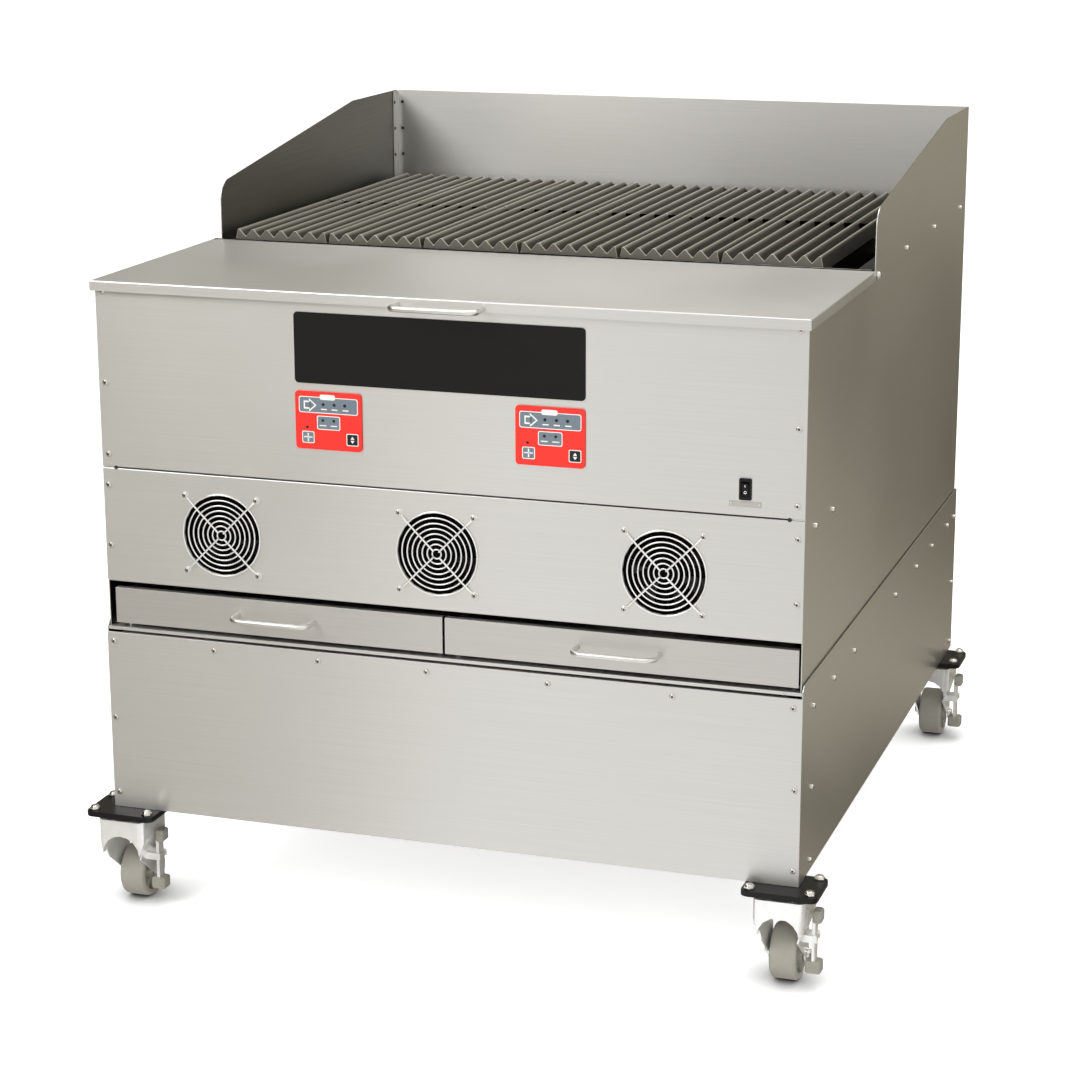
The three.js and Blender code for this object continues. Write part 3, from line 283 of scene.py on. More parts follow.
def node(tree, kind, settings=None, values=None, links=None):
    """Adds one node with its settings, its socket values and its incoming links."""
    made = tree.nodes.new(kind)
    for name, value in (settings or {}).items():
        setattr(made, name, value)
    return feed(tree, made, values, links)


def new_material(name):
    """A new material, with its tree and its shader."""
    material = bpy.data.materials.new(name)
    material.use_nodes = True
    tree = material.node_tree
    return material, tree, tree.nodes["Principled BSDF"]


def set_ramp(ramp, stops):
    """Places the ramp's colours, given as share and hex."""
    elements = ramp.color_ramp.elements
    while len(elements) < len(stops):
        elements.new(0.5)
    for element, (share, colour) in zip(elements, stops):
        element.position = share
        element.color = linear(colour)


def brushed_stainless(name, grain, low="D9D8D4", high="DEDDDA"):
    """304 stainless with a number 4 brushed finish.

    The belt's scratches run along the grain. They are under half a millimetre apart, too fine to show,
    so they are drawn about 1.5 mm apart and very faint. Their effect shows as a blur that smears what
    the sheet mirrors across the grain and leaves it fairly crisp along it.
    """
    material, tree, shader = new_material(name)
    place = node(tree, "ShaderNodeTexCoord")
    along, across = 4.0, 640.0
    stretch = [across] * 3
    stretch["XYZ".index(grain)] = along
    scratches = node(
        tree, "ShaderNodeMapping", values={"Scale": stretch}, links={"Vector": place.outputs["Object"]}
    )
    lines = node(
        tree,
        "ShaderNodeTexNoise",
        values={"Scale": 1.0, "Detail": 2.0, "Roughness": 0.55},
        links={"Vector": scratches.outputs["Vector"]},
    )
    clouds = node(
        tree,
        "ShaderNodeTexNoise",
        values={"Scale": 3.2, "Detail": 2.0, "Roughness": 0.5},
        links={"Vector": place.outputs["Object"]},
    )
    tint = node(tree, "ShaderNodeValToRGB", links={"Fac": lines.outputs["Fac"]})
    set_ramp(tint, [(0.3, low), (0.7, high)])
    sheen = node(
        tree,
        "ShaderNodeMapRange",
        values={"From Min": 0.3, "From Max": 0.7, "To Min": 0.30, "To Max": 0.36},
        links={"Value": clouds.outputs["Fac"]},
    )
    relief = node(
        tree,
        "ShaderNodeBump",
        values={"Strength": 0.02, "Distance": 0.0003},
        links={"Height": lines.outputs["Fac"]},
    )
    # The grain's direction, which the tangent socket takes only by a link.
    run = [float(axis == grain) for axis in "XYZ"]
    turn = node(tree, "ShaderNodeCombineXYZ", values=dict(zip("XYZ", run)))
    feed(
        tree,
        shader,
        values={"Metallic": 1.0, "Anisotropic": 0.78, "Anisotropic Rotation": 0.25},
        links={
            "Base Color": tint.outputs["Color"],
            "Roughness": sheen.outputs["Result"],
            "Normal": relief.outputs["Normal"],
            "Tangent": turn.outputs["Vector"],
        },
    )
    return material


def mottled_steel(name, low, high, scale, detail, metal, roughness):
    """Steel without a brushed grain, mottled in soft patches; scale is patches to the metre."""
    material, tree, shader = new_material(name)
    place = node(tree, "ShaderNodeTexCoord")
    clouds = node(
        tree,
        "ShaderNodeTexNoise",
        values={"Scale": scale, "Detail": detail, "Roughness": 0.6},
        links={"Vector": place.outputs["Object"]},
    )
    tint = node(tree, "ShaderNodeValToRGB", links={"Fac": clouds.outputs["Fac"]})
    set_ramp(tint, [(0.3, low), (0.7, high)])
    feed(tree, shader, {"Metallic": metal, "Roughness": roughness}, {"Base Color": tint.outputs["Color"]})
    return material


def bright_plating(name, low, high, roughness, bump=0.12, metal=1.0):
    """Bright plating on steel: mirror-like, with the slight unevenness of the pressed part under it."""
    material, tree, shader = new_material(name)
    place = node(tree, "ShaderNodeTexCoord")
    dents = node(
        tree,
        "ShaderNodeTexNoise",
        values={"Scale": 60.0, "Detail": 2.0},
        links={"Vector": place.outputs["Object"]},
    )
    tint = node(tree, "ShaderNodeValToRGB", links={"Fac": dents.outputs["Fac"]})
    set_ramp(tint, [(0.3, low), (0.7, high)])
    relief = node(
        tree,
        "ShaderNodeBump",
        values={"Strength": bump, "Distance": 0.001},
        links={"Height": dents.outputs["Fac"]},
    )
    surface = {"Base Color": tint.outputs["Color"], "Normal": relief.outputs["Normal"]}
    feed(tree, shader, {"Metallic": metal, "Roughness": roughness}, surface)
    return material


# The height of the grates' ridges in the frame, and the band below it that is painted paler: bare metal the
# scraper leaves, and painted highlight along the ridge tops.
GRATE_TOP = (738.3 + 21.7 + BASE_UNDERSIDE) * MM
WORN_AND_LIT_FROM, WORN_AND_LIT_TO = GRATE_TOP - 4.5 * MM, GRATE_TOP - 0.3 * MM


def seasoned_iron():
    """Sand-cast grey iron, seasoned with oil: near-black flanks, and tops painted pale grey, as rubbed bare
    metal and as painted highlight.
    """
    material, tree, shader = new_material("SeasonedCastIron")
    place = node(tree, "ShaderNodeTexCoord")
    sand = node(
        tree,
        "ShaderNodeTexNoise",
        values={"Scale": 420.0, "Detail": 3.0, "Roughness": 0.6},
        links={"Vector": place.outputs["Object"]},
    )
    patches = node(
        tree,
        "ShaderNodeTexNoise",
        values={"Scale": 9.0, "Detail": 3.0, "Roughness": 0.55},
        links={"Vector": place.outputs["Object"]},
    )
    height = node(tree, "ShaderNodeSeparateXYZ", links={"Vector": place.outputs["Object"]})
    # Paler towards the ridge tops: partly wear, partly painted highlight.
    worn_and_lit = node(
        tree,
        "ShaderNodeMapRange",
        values={"From Min": WORN_AND_LIT_FROM, "From Max": WORN_AND_LIT_TO, "To Min": 0.0, "To Max": 1.0},
        links={"Value": height.outputs["Z"]},
    )
    seasoning = node(tree, "ShaderNodeValToRGB", links={"Fac": patches.outputs["Fac"]})
    set_ramp(seasoning, [(0.3, "3E3B34"), (0.7, "545046")])
    bare_and_lit = node(
        tree,
        "ShaderNodeMix",
        settings={"data_type": "RGBA"},
        values={"B": linear("A09C8E")},
        links={"Factor": worn_and_lit.outputs["Result"], "A": seasoning.outputs["Color"]},
    )
    relief = node(
        tree,
        "ShaderNodeBump",
        values={"Strength": 0.3, "Distance": 0.0005},
        links={"Height": sand.outputs["Fac"]},
    )
    surface = {"Base Color": bare_and_lit.outputs["Result"], "Normal": relief.outputs["Normal"]}
    feed(tree, shader, {"Metallic": 0.4, "Roughness": 0.48}, surface)
    return material


def grained(name, low, high, roughness, grit, bump=0.15, shine=0.5):
    """A painted, moulded or printed surface whose fine grit is about the given size in millimetres."""
    material, tree, shader = new_material(name)
    place = node(tree, "ShaderNodeTexCoord")
    specks = node(
        tree,
        "ShaderNodeTexNoise",
        values={"Scale": 1000.0 / grit, "Detail": 2.0},
        links={"Vector": place.outputs["Object"]},
    )
    tint = node(tree, "ShaderNodeValToRGB", links={"Fac": specks.outputs["Fac"]})
    set_ramp(tint, [(0.3, low), (0.7, high)])
    relief = node(
        tree,
        "ShaderNodeBump",
        values={"Strength": bump, "Distance": 0.0003},
        links={"Height": specks.outputs["Fac"]},
    )
    surface = {"Base Color": tint.outputs["Color"], "Normal": relief.outputs["Normal"]}
    feed(tree, shader, {"Roughness": roughness, "Specular IOR Level": shine}, surface)
    return material


# The cabinet's sheets, with the grain across the front or running from front to back.
steel_x = brushed_stainless("BrushedStainlessAcross", "X")
steel_y = brushed_stainless("BrushedStainlessBack", "Y")
# The strip under the switch: plain sheet, a shade darker than the panel round it.
strip_steel = brushed_stainless("StripStainless", "X", "C2C0BA", "C9C7C1")
# Drawer fronts: a thinner sheet of the same steel, from another batch and a little duller.
drawer_steel = brushed_stainless("DrawerStainless", "X", "C9C7C3", "CFCDC9")
# Inside of the splash guards: the same sheet, painted darker and warmer as painted shade.
painted_shade_steel = brushed_stainless("PaintedShadeStainless", "Y", "7C7A72", "86847C")
# Plain mill-finish stainless inside the cabinet: greyer and duller, without a brushed grain.
inner_steel = mottled_steel("MillFinishStainless", "8A877F", "A09D94", 14.0, 4.0, 1.0, 0.5)
# Stainless that has been in the fire: a brown to black soot film with little shine left.
fire_steel = mottled_steel("SootedFireboxSteel", "141310", "2A2722", 22.0, 5.0, 0.3, 0.65)
# Bright zinc on the castors' pressings: pale, with a soft and slightly wavy mirror.
zinc = bright_plating("BrightZincPlate", "EFEFEC", "F8F8F6", 0.24, 0.03, 0.6)
# Chromed wire and screws: pale and sharp.
chrome = bright_plating("ChromedWire", "CFCDC6", "E0DED8", 0.16)
# Nickel-dipped guard wire: its thin bright coat scatters more light than chrome does.
guard_wire = bright_plating("NickelDippedWire", "EFEEEA", "F7F6F3", 0.28, metal=0.65)
# Polished stainless rod of the pulls: paler and softer than chrome.
rod_steel = bright_plating("PolishedStainlessRod", "DCDAD3", "E8E6E0", 0.34)
# The grates' castings: near-black flanks under ridges painted grey, for wear and for painted highlight.
iron = seasoned_iron()
# Hot-rolled tube with its mill scale left on: blue-black, half dull, and kept this dark as painted shade
# where it shows through the fans.
scaled_and_shaded_steel = grained("MillScaledTubeAndShade", "242322", "32302E", 0.55, 3.0, shine=0.4)
# Front ends of the castings, facing the lamps: iron painted paler than the flanks as painted light.
lit_end_iron = grained("PaintedLightIronEnds", "625F55", "6E6A60", 0.55, 1.5, bump=0.1, shine=0.4)
# Their upper rims, rubbed bare by the scraper and painted palest as the highlight the rounded rims catch.
rubbed_highlight_iron = grained("RubbedAndHighlightIronRims", "C2BDAD", "CEC9B9", 0.5, 1.5, bump=0.1, shine=0.4)
# Fan blades and frames of dull black nylon, near black with hardly any shine: partly their colour, partly
# painted shade deep in the housing.
fan_black_and_shade = grained("BlackFanNylonAndShade", "050505", "080808", 0.85, 1.0, shine=0.08)
# Black powder coat on the castors' top plates: fine orange peel, half gloss.
powder_coat = grained("BlackPowderCoat", "090908", "10100F", 0.4, 1.2, shine=0.3)
# Black ink on the sheet of the name plate: flat and even.
name_black = grained("BlackScreenPrintedPlate", "0F0F0E", "151413", 0.5, 0.8, bump=0.03, shine=0.2)
# Moulded black ABS of the switch: fine spark-eroded grain, little shine.
black_abs = grained("BlackMouldedABS", "0B0B0B", "131312", 0.55, 0.6, shine=0.25)
# Brown-black with a dull gleam: painted shade in screw sockets, seam holes and swivel gaps, and on the rivets
# in the splash guards' shaded corners.
painted_shade_black = grained("PaintedShadeBlack", "24221E", "34312B", 0.45, 0.8, shine=0.4)
# Red polyester overlay of the controllers: even, with a satin hard coat.
red_film = grained("RedPolyesterOverlay", "F6281E", "FC3126", 0.42, 1.0, bump=0.03, shine=0.3)
# The three inks printed on it: flat, under the same satin coat.
grey_print = grained("GreyPrintedOverlay", "66717A", "717C85", 0.42, 1.0, bump=0.03, shine=0.3)
white_print = grained("WhitePrintedOverlay", "DCDCD8", "E8E8E4", 0.42, 1.0, bump=0.03, shine=0.3)
black_print = grained("BlackPrintedOverlay", "161818", "202322", 0.42, 1.0, bump=0.03, shine=0.3)
# Grey thermoplastic rubber tread: matt, slightly dusty.
tread = grained("GreyRubberTread", "98948A", "A39F94", 0.68, 1.6, bump=0.25, shine=0.3)
# Moulded grips of the brake levers: the same rubber, a shade darker.
grip = grained("GreyRubberGrip", "8F8C81", "A09D91", 0.6, 1.0, bump=0.25, shine=0.3)


# Sheet metal, from the model's solids: merged, with folds rounded and every edge deburred.

SHEETS = [
    ("base_left_panel", steel_y, 0.35, None),
    ("base_right_panel", steel_y, 0.35, None),
    ("base_front_panel", steel_x, 0.3, None),
    ("base_back_panel", steel_x, 0.4, None),
    ("drawer_deck", steel_x, 0.3, None),
    ("left_side_panel", steel_y, 0.35, None),
    ("right_side_panel", steel_y, 0.35, None),
    ("back_panel", steel_x, 0.35, None),
    ("control_panel", steel_x, 0.3, (490.8,)),
    ("fan_panel", steel_x, 0.3, (329.0, 489.0)),
]


def front_fold(heights):
    """Finds the long front edges at the given heights."""

    def test(place, run):
        x, y, z = cabinet_place(place)
        return y < 0.2 and abs(run.x) > 0.5 and any(abs(z - height) < 0.3 for height in heights)

    return test


def in_fan_frame(place, normal):
    """Finds the moulded fan frames, which sit behind the panel round each fan."""
    x, y, z = cabinet_place(place)
    beside = any(abs(x - middle) < FAN_FRAME_REACH for middle in FAN_MIDDLES)
    return y > 1.7 and abs(z - FAN_HEIGHT) < FAN_FRAME_REACH and beside


for solid, material, width, folds in SHEETS:
    piece = solid_copy(solid)
    if folds:
        fold_edge(piece, front_fold(folds), 1.3, 3)
    break_edges(piece, width, angle=50)
    smooth(piece, 40)
    finish_piece(piece, solid + "_sheet", "cabinet", material, [solid])
    if solid == "fan_panel":
        # The fan frames take the near-black nylon: their colour, and painted shade behind the panel.
        face_material(piece, fan_black_and_shade, in_fan_frame)
    if solid.endswith("side_panel"):
        inward = 1 if solid.startswith("left") else -1
        # Faces turned inward take the darker steel: painted shade.
        face_material(piece, painted_shade_steel, lambda place, normal: normal.x * inward > 0.9)


# Just inside the lid's top, front and end faces.
LID_TOP, LID_FRONT, LID_END = 746.8, -7.8, 492.8


def lid_rim(place, run):
    """Finds the lid's outer rim along its front and both ends."""
    x, y, z = cabinet_place(place)
    return z > LID_TOP and (y < LID_FRONT or abs(x) > LID_END)


lid = solid_copy("lid")
fold_edge(lid, lid_rim, 2.2, 8)
break_edges(lid, 0.3, angle=50)
tidy_normals(lid)
finish_piece(lid, "lid_sheet", "lid", steel_x, ["lid"])

for hand in ("left", "right"):
    drawer = hand + "_drawer"
    tray = solid_copy(drawer)
    break_edges(tray, 0.35)
    smooth(tray)
    finish_piece(tray, drawer + "_sheet", drawer, drawer_steel, [drawer])

# Cooking grates: each casting gets the cross rib that stiffens it at mid-depth, under its gutters.

GRATE_LEFT, GRATE_PITCH, GRATE_FRONT = -467.8, 147.43, 404.0
RIB_HALF, RIB_DEPTHS, RIB_HEIGHTS = 72, (728, 760), (739.5, 746.4)


def at_front_end(place, normal):
    """Finds the flat front ends of a casting."""
    return normal.y < -0.9 and cabinet_place(place)[1] < GRATE_FRONT


def at_front_rim(place, normal):
    """Finds the rounded upper rims of a casting's front end."""
    return -0.9 <= normal.y < -0.15 and normal.z > 0.1 and cabinet_place(place)[1] < GRATE_FRONT + 0.5


for index in range(6):
    grate = f"grate_{index + 1}"
    casting = solid_copy(grate)
    break_edges(casting, 1.2, segments=3)
    middle = GRATE_LEFT + (index + 0.5) * GRATE_PITCH
    rib = block((middle - RIB_HALF, middle + RIB_HALF), RIB_DEPTHS, RIB_HEIGHTS, edge=0.6)
    rib.location = at(0, 0, 0)
    settle(rib)
    casting = merge_into([casting, rib], "casting")
    smooth(casting, 50)
    finish_piece(casting, grate + "_casting", "cabinet", iron, [grate])
    # Front-facing ends paler and their rims palest: painted light where the casting faces the lamps.
    face_material(casting, lit_end_iron, at_front_end)
    face_material(casting, rubbed_highlight_iron, at_front_rim)

# Solids that need only their material

PLAIN = {
    inner_steel: ["base_floor", "hopper", "left_auger", "right_auger"],
    scaled_and_shaded_steel: ["left_auger_tube", "right_auger_tube"],
    fire_steel: [
        "firebox",
        "left_flame_deflector",
        "right_flame_deflector",
        "left_burn_pot",
        "right_burn_pot",
    ],
    fan_black_and_shade: ["left_fan_rotor", "middle_fan_rotor", "right_fan_rotor"],
}
for material, nodes in PLAIN.items():
    for name in nodes:
        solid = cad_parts[name]
        solid.data.materials.clear()
        solid.data.materials.append(material)

# Screws, rivets and dome nuts: each modelled once, then copied in rows


def pan_head(radius, height):
    """A domed head with a socket, facing the front, its seat at the origin."""
    head = turned(radius, height, (0, -height / 2, 0), "Y", 14)
    fold_edge(head, lambda place, run: place.y < -0.95 * height * MM, 0.38 * radius, 3)
    choose(head, faces=lambda place, normal: normal.y < -0.9 and place.xz.length < 0.3 * radius * MM)
    bpy.ops.mesh.inset(thickness=0.2 * radius * MM)
    pull(y=0.4 * height)
    smooth(head, 45)
    return head


def rivet_head(radius, height):
    """A small set rivet, facing the front: a flat dome."""
    head = turned(radius, height, (0, -height / 2, 0), "Y", 14)
    fold_edge(head, lambda place, run: place.y < -0.95 * height * MM, 0.8 * height, 3)
    smooth(head, 50)
    return head


def dome_nut(radius, height):
    """A hexagon nut with a closed dome, its seat at the origin, pointing up."""
    nut = turned(radius, 0.5 * height, (0, 0, 0.25 * height), "Z", 6, edge=0.5)
    cap = turned(0.84 * radius, 0.7 * height, (0, 0, 0.65 * height), "Z", 20)
    fold_edge(cap, lambda place, run: place.z > 0.98 * height * MM, 0.55 * height, 5)
    nut = merge_into([nut, cap], "nut")
    smooth(nut, 50)
    return nut


def facing(places, side):
    """Places in millimetres with the turn that makes a part face front, right, left or back."""
    turn = {"front": 0.0, "right": QUARTER, "back": math.pi, "left": -QUARTER}[side]
    return [(at(*place), turn) for place in places]


# Half the cabinet's width, and how far a guard's screw eye stands from the fan's middle each way.
HALF = 489.0
EYE = 52.4
UPPER_COLUMN = [732, 607, 508]
control_screws = [(side * 479, 0, z) for side in (-1, 1) for z in UPPER_COLUMN]
fan_screws = [(side * 481, 0, z) for side in (-1, 1) for z in (465, 380)]
base_front_screws = [(x, -3, 243) for x in (-482, -330, -176, -20, 150, 320, 480)]
base_front_screws += [(side * 484, -3, z) for side in (-1, 1) for z in (132, 22)]
base_side_screws = [(y, 228) for y in (62, 185, 315, 608, 773, 903, 1039, 1100)]
base_side_screws += [(y, z) for y in (62, 1100) for z in (116, 14)]
side_screws = [(62, 469), (163, 466), (625, 743), (844, 743), (1068, 743)]
back_screws = [(x, z) for z in (300, 520, 740) for x in (-470, -235, 0, 235, 470)]
guard_screws = [
    (x + dx, -1.5, FAN_HEIGHT + dz) for x in FAN_MIDDLES for dx in (-EYE, EYE) for dz in (-EYE, EYE)
]

ROWS = [
    ("fan_guard_screws", facing(guard_screws, "front")),
    ("control_panel_screws", facing(control_screws, "front")),
    ("fan_panel_screws", facing(fan_screws, "front")),
    ("base_front_screws", facing(base_front_screws, "front")),
    ("back_panel_screws", facing([(x, 1114, z) for x, z in back_screws], "back")),
]
for side, sign in (("left", -1), ("right", 1)):
    places = [(sign * (HALF + 3), y, z) for y, z in base_side_screws]
    places += [(sign * HALF, y, z) for y, z in side_screws]
    ROWS.append((side + "_side_screws", facing(places, side)))
screw = pan_head(4.0, 2.6)
# A dark disc in each head's socket: painted shade in the recess.
socket = turned(1.7, 0.5, (0, -2.45, 0), "Y", 6)
for name, places in ROWS:
    rows = spread(screw, places, "rows")
    finish_piece(rows, name, "cabinet", chrome)
    rows = spread(socket, places, "rows")
    finish_piece(rows, name[:-1] + "_sockets", "cabinet", painted_shade_black)
drop(screw, socket)

lip_screw = pan_head(2.1, 1.4)
rows = spread(lip_screw, facing([(side * 468, -1.2, 261.7) for side in (-1, 1)], "front"), "rows")
finish_piece(rows, "deck_lip_screws", "cabinet", chrome)
drop(lip_screw)

# Rivets in the back corners of the splash guards, in dark colour: painted shade of the corner.
corner_rivet = rivet_head(2.7, 1.4)
CORNER_HEIGHTS = (790, 834, 878)
corner_pairs = facing([(side * 477, 1112.5, z) for side in (-1, 1) for z in CORNER_HEIGHTS], "front")
corner_pairs += facing([(-485.8, 1098, z) for z in CORNER_HEIGHTS], "right")
corner_pairs += facing([(485.8, 1098, z) for z in CORNER_HEIGHTS], "left")
rows = spread(corner_rivet, corner_pairs, "rows")
finish_piece(rows, "splash_corner_rivets", "cabinet", painted_shade_black)
# Dark discs at the ends of the seam between the control and fan panels: painted shade of the holes there.
seam_hole_shade = rivet_head(2.8, 0.4)
rows = spread(seam_hole_shade, facing([(side * 469, -0.02, 489.9) for side in (-1, 1)], "front"), "rows")
finish_piece(rows, "seam_end_hole_shades", "cabinet", painted_shade_black)
drop(corner_rivet, seam_hole_shade)

hinge_nut = dome_nut(7.0, 5.2)
hinge_nut.rotation_euler = (0, QUARTER, 0)
settle(hinge_nut)
rows = spread(hinge_nut, [(at(493.1, 391.9, 739.5), 0.0), (at(-493.1, 391.9, 739.5), math.pi)], "rows")
finish_piece(rows, "hinge_dome_nuts", "cabinet", chrome)
drop(hinge_nut)

# Staple pulls and the lid's handle: a rod bent round twice


def staple(length, reach, bend, rod, foot):
    """Extrudes and spins a round rod from its left foot, out, along and back to the panel."""
    half, out = length / 2, -(reach - bend)
    elbow = half - bend
    bpy.ops.mesh.primitive_circle_add(
        vertices=16,
        radius=rod / 2 * MM,
        fill_type="NGON",
        location=(-half * MM, 0, 0),
        rotation=(QUARTER, 0, 0),
    )
    handle = new_piece()
    settle(handle)
    choose_all()
    pull(y=out)
    bpy.ops.mesh.spin(steps=8, angle=-QUARTER, center=(-elbow * MM, out * MM, 0), axis=(0, 0, 1))
    pull(x=2 * elbow)
    bpy.ops.mesh.spin(steps=8, angle=-QUARTER, center=(elbow * MM, out * MM, 0), axis=(0, 0, 1))
    pull(y=-out)
    tidy_normals(handle)
    handle.location = foot
    settle(handle)
    bpy.ops.object.shade_smooth_by_angle(angle=math.radians(45))
    return handle


for drawer, middle in (("left_drawer", -238.0), ("right_drawer", 245.3)):
    rod = staple(112, 30, 14, 7, at(middle, -0.3, 296.3))
    name = drawer.replace("drawer", "pull_rod")
    finish_piece(rod, name, drawer, rod_steel, [drawer + "_pull"])
handle = staple(116, 30, 10, 8, at(6, -8.3, 737))
finish_piece(handle, "lid_handle_rod", "lid", rod_steel, ["lid_handle"])

# Fan guards: rings on cross wires that end in flattened screw eyes

GUARD_RADIUS = 56.5
RING_SHARES = (0.11, 0.235, 0.36, 0.485, 0.61, 0.735, 0.865, 1.0)
WIRE = 2.2
# How far the middle of a screw eye stands from the fan's middle, along the cross wire.
EYE_REACH = 74.1


def wire_ring(radius, wire, depth, steps):
    """A ring of round wire about the Y axis, spun from the wire's section."""
    bpy.ops.mesh.primitive_circle_add(vertices=8, radius=wire / 2 * MM, location=(radius * MM, depth * MM, 0))
    ring = new_piece()
    settle(ring)
    choose_all()
    bpy.ops.mesh.spin(steps=steps, angle=2 * math.pi, center=(0, depth * MM, 0), axis=(0, 1, 0))
    tidy_normals(ring)
    return ring


def guard_arm(turn):
    """A cross wire with its end pressed flat into an eye for its screw."""
    start, bend, end = GUARD_RADIUS * RING_SHARES[0] - WIRE / 2, GUARD_RADIUS + 4, EYE_REACH - 4
    front, seat = -1.4 * WIRE, -0.6
    bpy.ops.mesh.primitive_circle_add(
        vertices=8,
        radius=0.6 * WIRE * MM,
        fill_type="NGON",
        location=(start * MM, front * MM, 0),
        rotation=(0, QUARTER, 0),
    )
    arm = new_piece()
    settle(arm)
    choose_all()
    pull(x=bend - start)
    pull(x=end - bend, y=seat - front)
    tidy_normals(arm)
    eye = turned(5, 1.2, (EYE_REACH, seat, 0), "Y", 20, edge=0.4)
    arm = merge_into([arm, eye], "arm")
    arm.matrix_world = Matrix.Rotation(turn, 4, "Y")
    settle(arm)
    return arm


rings = [wire_ring(GUARD_RADIUS * share, WIRE, -0.5 * WIRE, 56) for share in RING_SHARES]
arms = [guard_arm(math.radians(turn)) for turn in (45, 135, 225, 315)]
guard = merge_into(rings + arms, "guard")
smooth(guard, 50)
for place, x in zip(("left", "middle", "right"), FAN_MIDDLES):
    copy = set_down(guard, at(x, -0.3, FAN_HEIGHT))
    stands_for = [place + "_fan_guard"]
    finish_piece(copy, place + "_guard_wires", "cabinet", guard_wire, stands_for)
drop(guard)

# Controllers: a red overlay with printed windows and keys

OVERLAY_WIDTH, OVERLAY_HEIGHT = 94.0, 78.0


def printed(u0, v0, u1, v1, depth, corner):
    """A thin printed field on the overlay, between two corners given as shares of its face."""
    width, height = (u1 - u0) * OVERLAY_WIDTH, (v1 - v0) * OVERLAY_HEIGHT
    x, z = ((u0 + u1) / 2 - 0.5) * OVERLAY_WIDTH, (0.5 - (v0 + v1) / 2) * OVERLAY_HEIGHT
    bpy.ops.mesh.primitive_cube_add(size=1, location=(x * MM, -depth / 2 * MM, z * MM))
    field = new_piece()
    field.scale = (width * MM, depth * MM, height * MM)
    settle(field)
    fold_edge(field, lambda place, run: abs(run.y) > 0.5 * depth * MM, corner, 4)
    return field


def printed_dot(u, v, radius, depth):
    """A small round window or lamp on the overlay."""
    x, z = (u - 0.5) * OVERLAY_WIDTH, (0.5 - v) * OVERLAY_HEIGHT
    return turned(radius, depth, (x, -depth / 2, z), "Y", 20)


def pointer(u, v, width, height, depth, turn):
    """A printed triangle of the given size round its middle, pointing up and then turned."""
    radius = height / 1.5
    mark = turned(radius, depth, (0, -depth / 2, 0), "Y", 3)
    mark.scale = (width / (math.sqrt(3) * radius), 1, 1)
    mark.location = (0, 0, -0.25 * radius * MM)
    settle(mark)
    place = Matrix.Translation(((u - 0.5) * OVERLAY_WIDTH * MM, 0, (0.5 - v) * OVERLAY_HEIGHT * MM))
    mark.matrix_world = place @ Matrix.Rotation(turn, 4, "Y")
    settle(mark)
    return mark


def controller_print(hand, x):
    """All the printed fields of one controller, each ink its own piece."""
    white = [
        printed(0.06, 0.09, 0.95, 0.37, 0.12, 3),
        printed(0.38, 0.045, 0.61, 0.135, 0.3, 2.5),
        printed(0.33, 0.41, 0.68, 0.65, 0.12, 2.5),
        printed(0.10, 0.69, 0.285, 0.895, 0.12, 2),
        printed(0.77, 0.69, 0.95, 0.9, 0.12, 2),
        printed(0.135, 0.165, 0.235, 0.305, 0.26, 0.4),
        pointer(0.272, 0.235, 18.0, 10.6, 0.26, QUARTER),
        pointer(0.861, 0.762, 5.6, 4.0, 0.3, 0.0),
        pointer(0.861, 0.832, 5.6, 4.0, 0.3, math.pi),
        printed(0.128, 0.78, 0.257, 0.8, 0.3, 0.3),
        printed(0.183, 0.72, 0.202, 0.865, 0.3, 0.3),
    ]
    white += [printed(u - 0.045, 0.288, u + 0.045, 0.308, 0.3, 0.3) for u in (0.44, 0.6, 0.765)]
    white += [printed(u - 0.05, 0.57, u + 0.05, 0.588, 0.3, 0.3) for u in (0.42, 0.585)]
    grey = [
        printed(0.072, 0.104, 0.938, 0.356, 0.2, 2.4),
        printed(0.342, 0.424, 0.668, 0.636, 0.2, 2),
        printed(0.112, 0.704, 0.273, 0.881, 0.2, 1.5),
        printed(0.153, 0.192, 0.235, 0.278, 0.34, 0.3),
        pointer(0.263, 0.235, 12.0, 7.0, 0.34, QUARTER),
    ]
    black = [
        printed(0.782, 0.704, 0.938, 0.886, 0.2, 1.5),
        printed_dot(0.18, 0.62, 2.0, 0.2),
    ]
    black += [printed_dot(u, 0.215, 2.2, 0.34) for u in (0.43, 0.595, 0.755)]
    black += [printed_dot(u, 0.49, 2.0, 0.34) for u in (0.42, 0.585)]
    for ink, fields, material in (
        ("white", white, white_print),
        ("grey", grey, grey_print),
        ("black", black, black_print),
    ):
        sheet = merge_into(fields, "ink")
        sheet.location = at(x, -2.8, 575.5)
        settle(sheet)
        finish_piece(sheet, f"{hand}_controller_{ink}_print", "cabinet", material)


for hand, x in (("left", -153.5), ("right", 153.5)):
    controller = hand + "_controller"
    face = solid_copy(controller)
    break_edges(face, 0.5)
    smooth(face)
    finish_piece(face, controller + "_overlay", "cabinet", red_film, [controller])
    controller_print(hand, x)

# Power switch, with the plain strip that is riveted under it

SWITCH_X, SWITCH_HEIGHT = 411.5, 525.5
bezel = solid_copy("switch_bezel")
key = solid_copy("power_rocker")
for moulding in (bezel, key):
    break_edges(moulding, 0.4)
    smooth(moulding)
finish_piece(bezel, "switch_bezel_moulding", "cabinet", black_abs, ["switch_bezel"])
finish_piece(key, "power_rocker_key", "power_rocker", black_abs, ["power_rocker"])

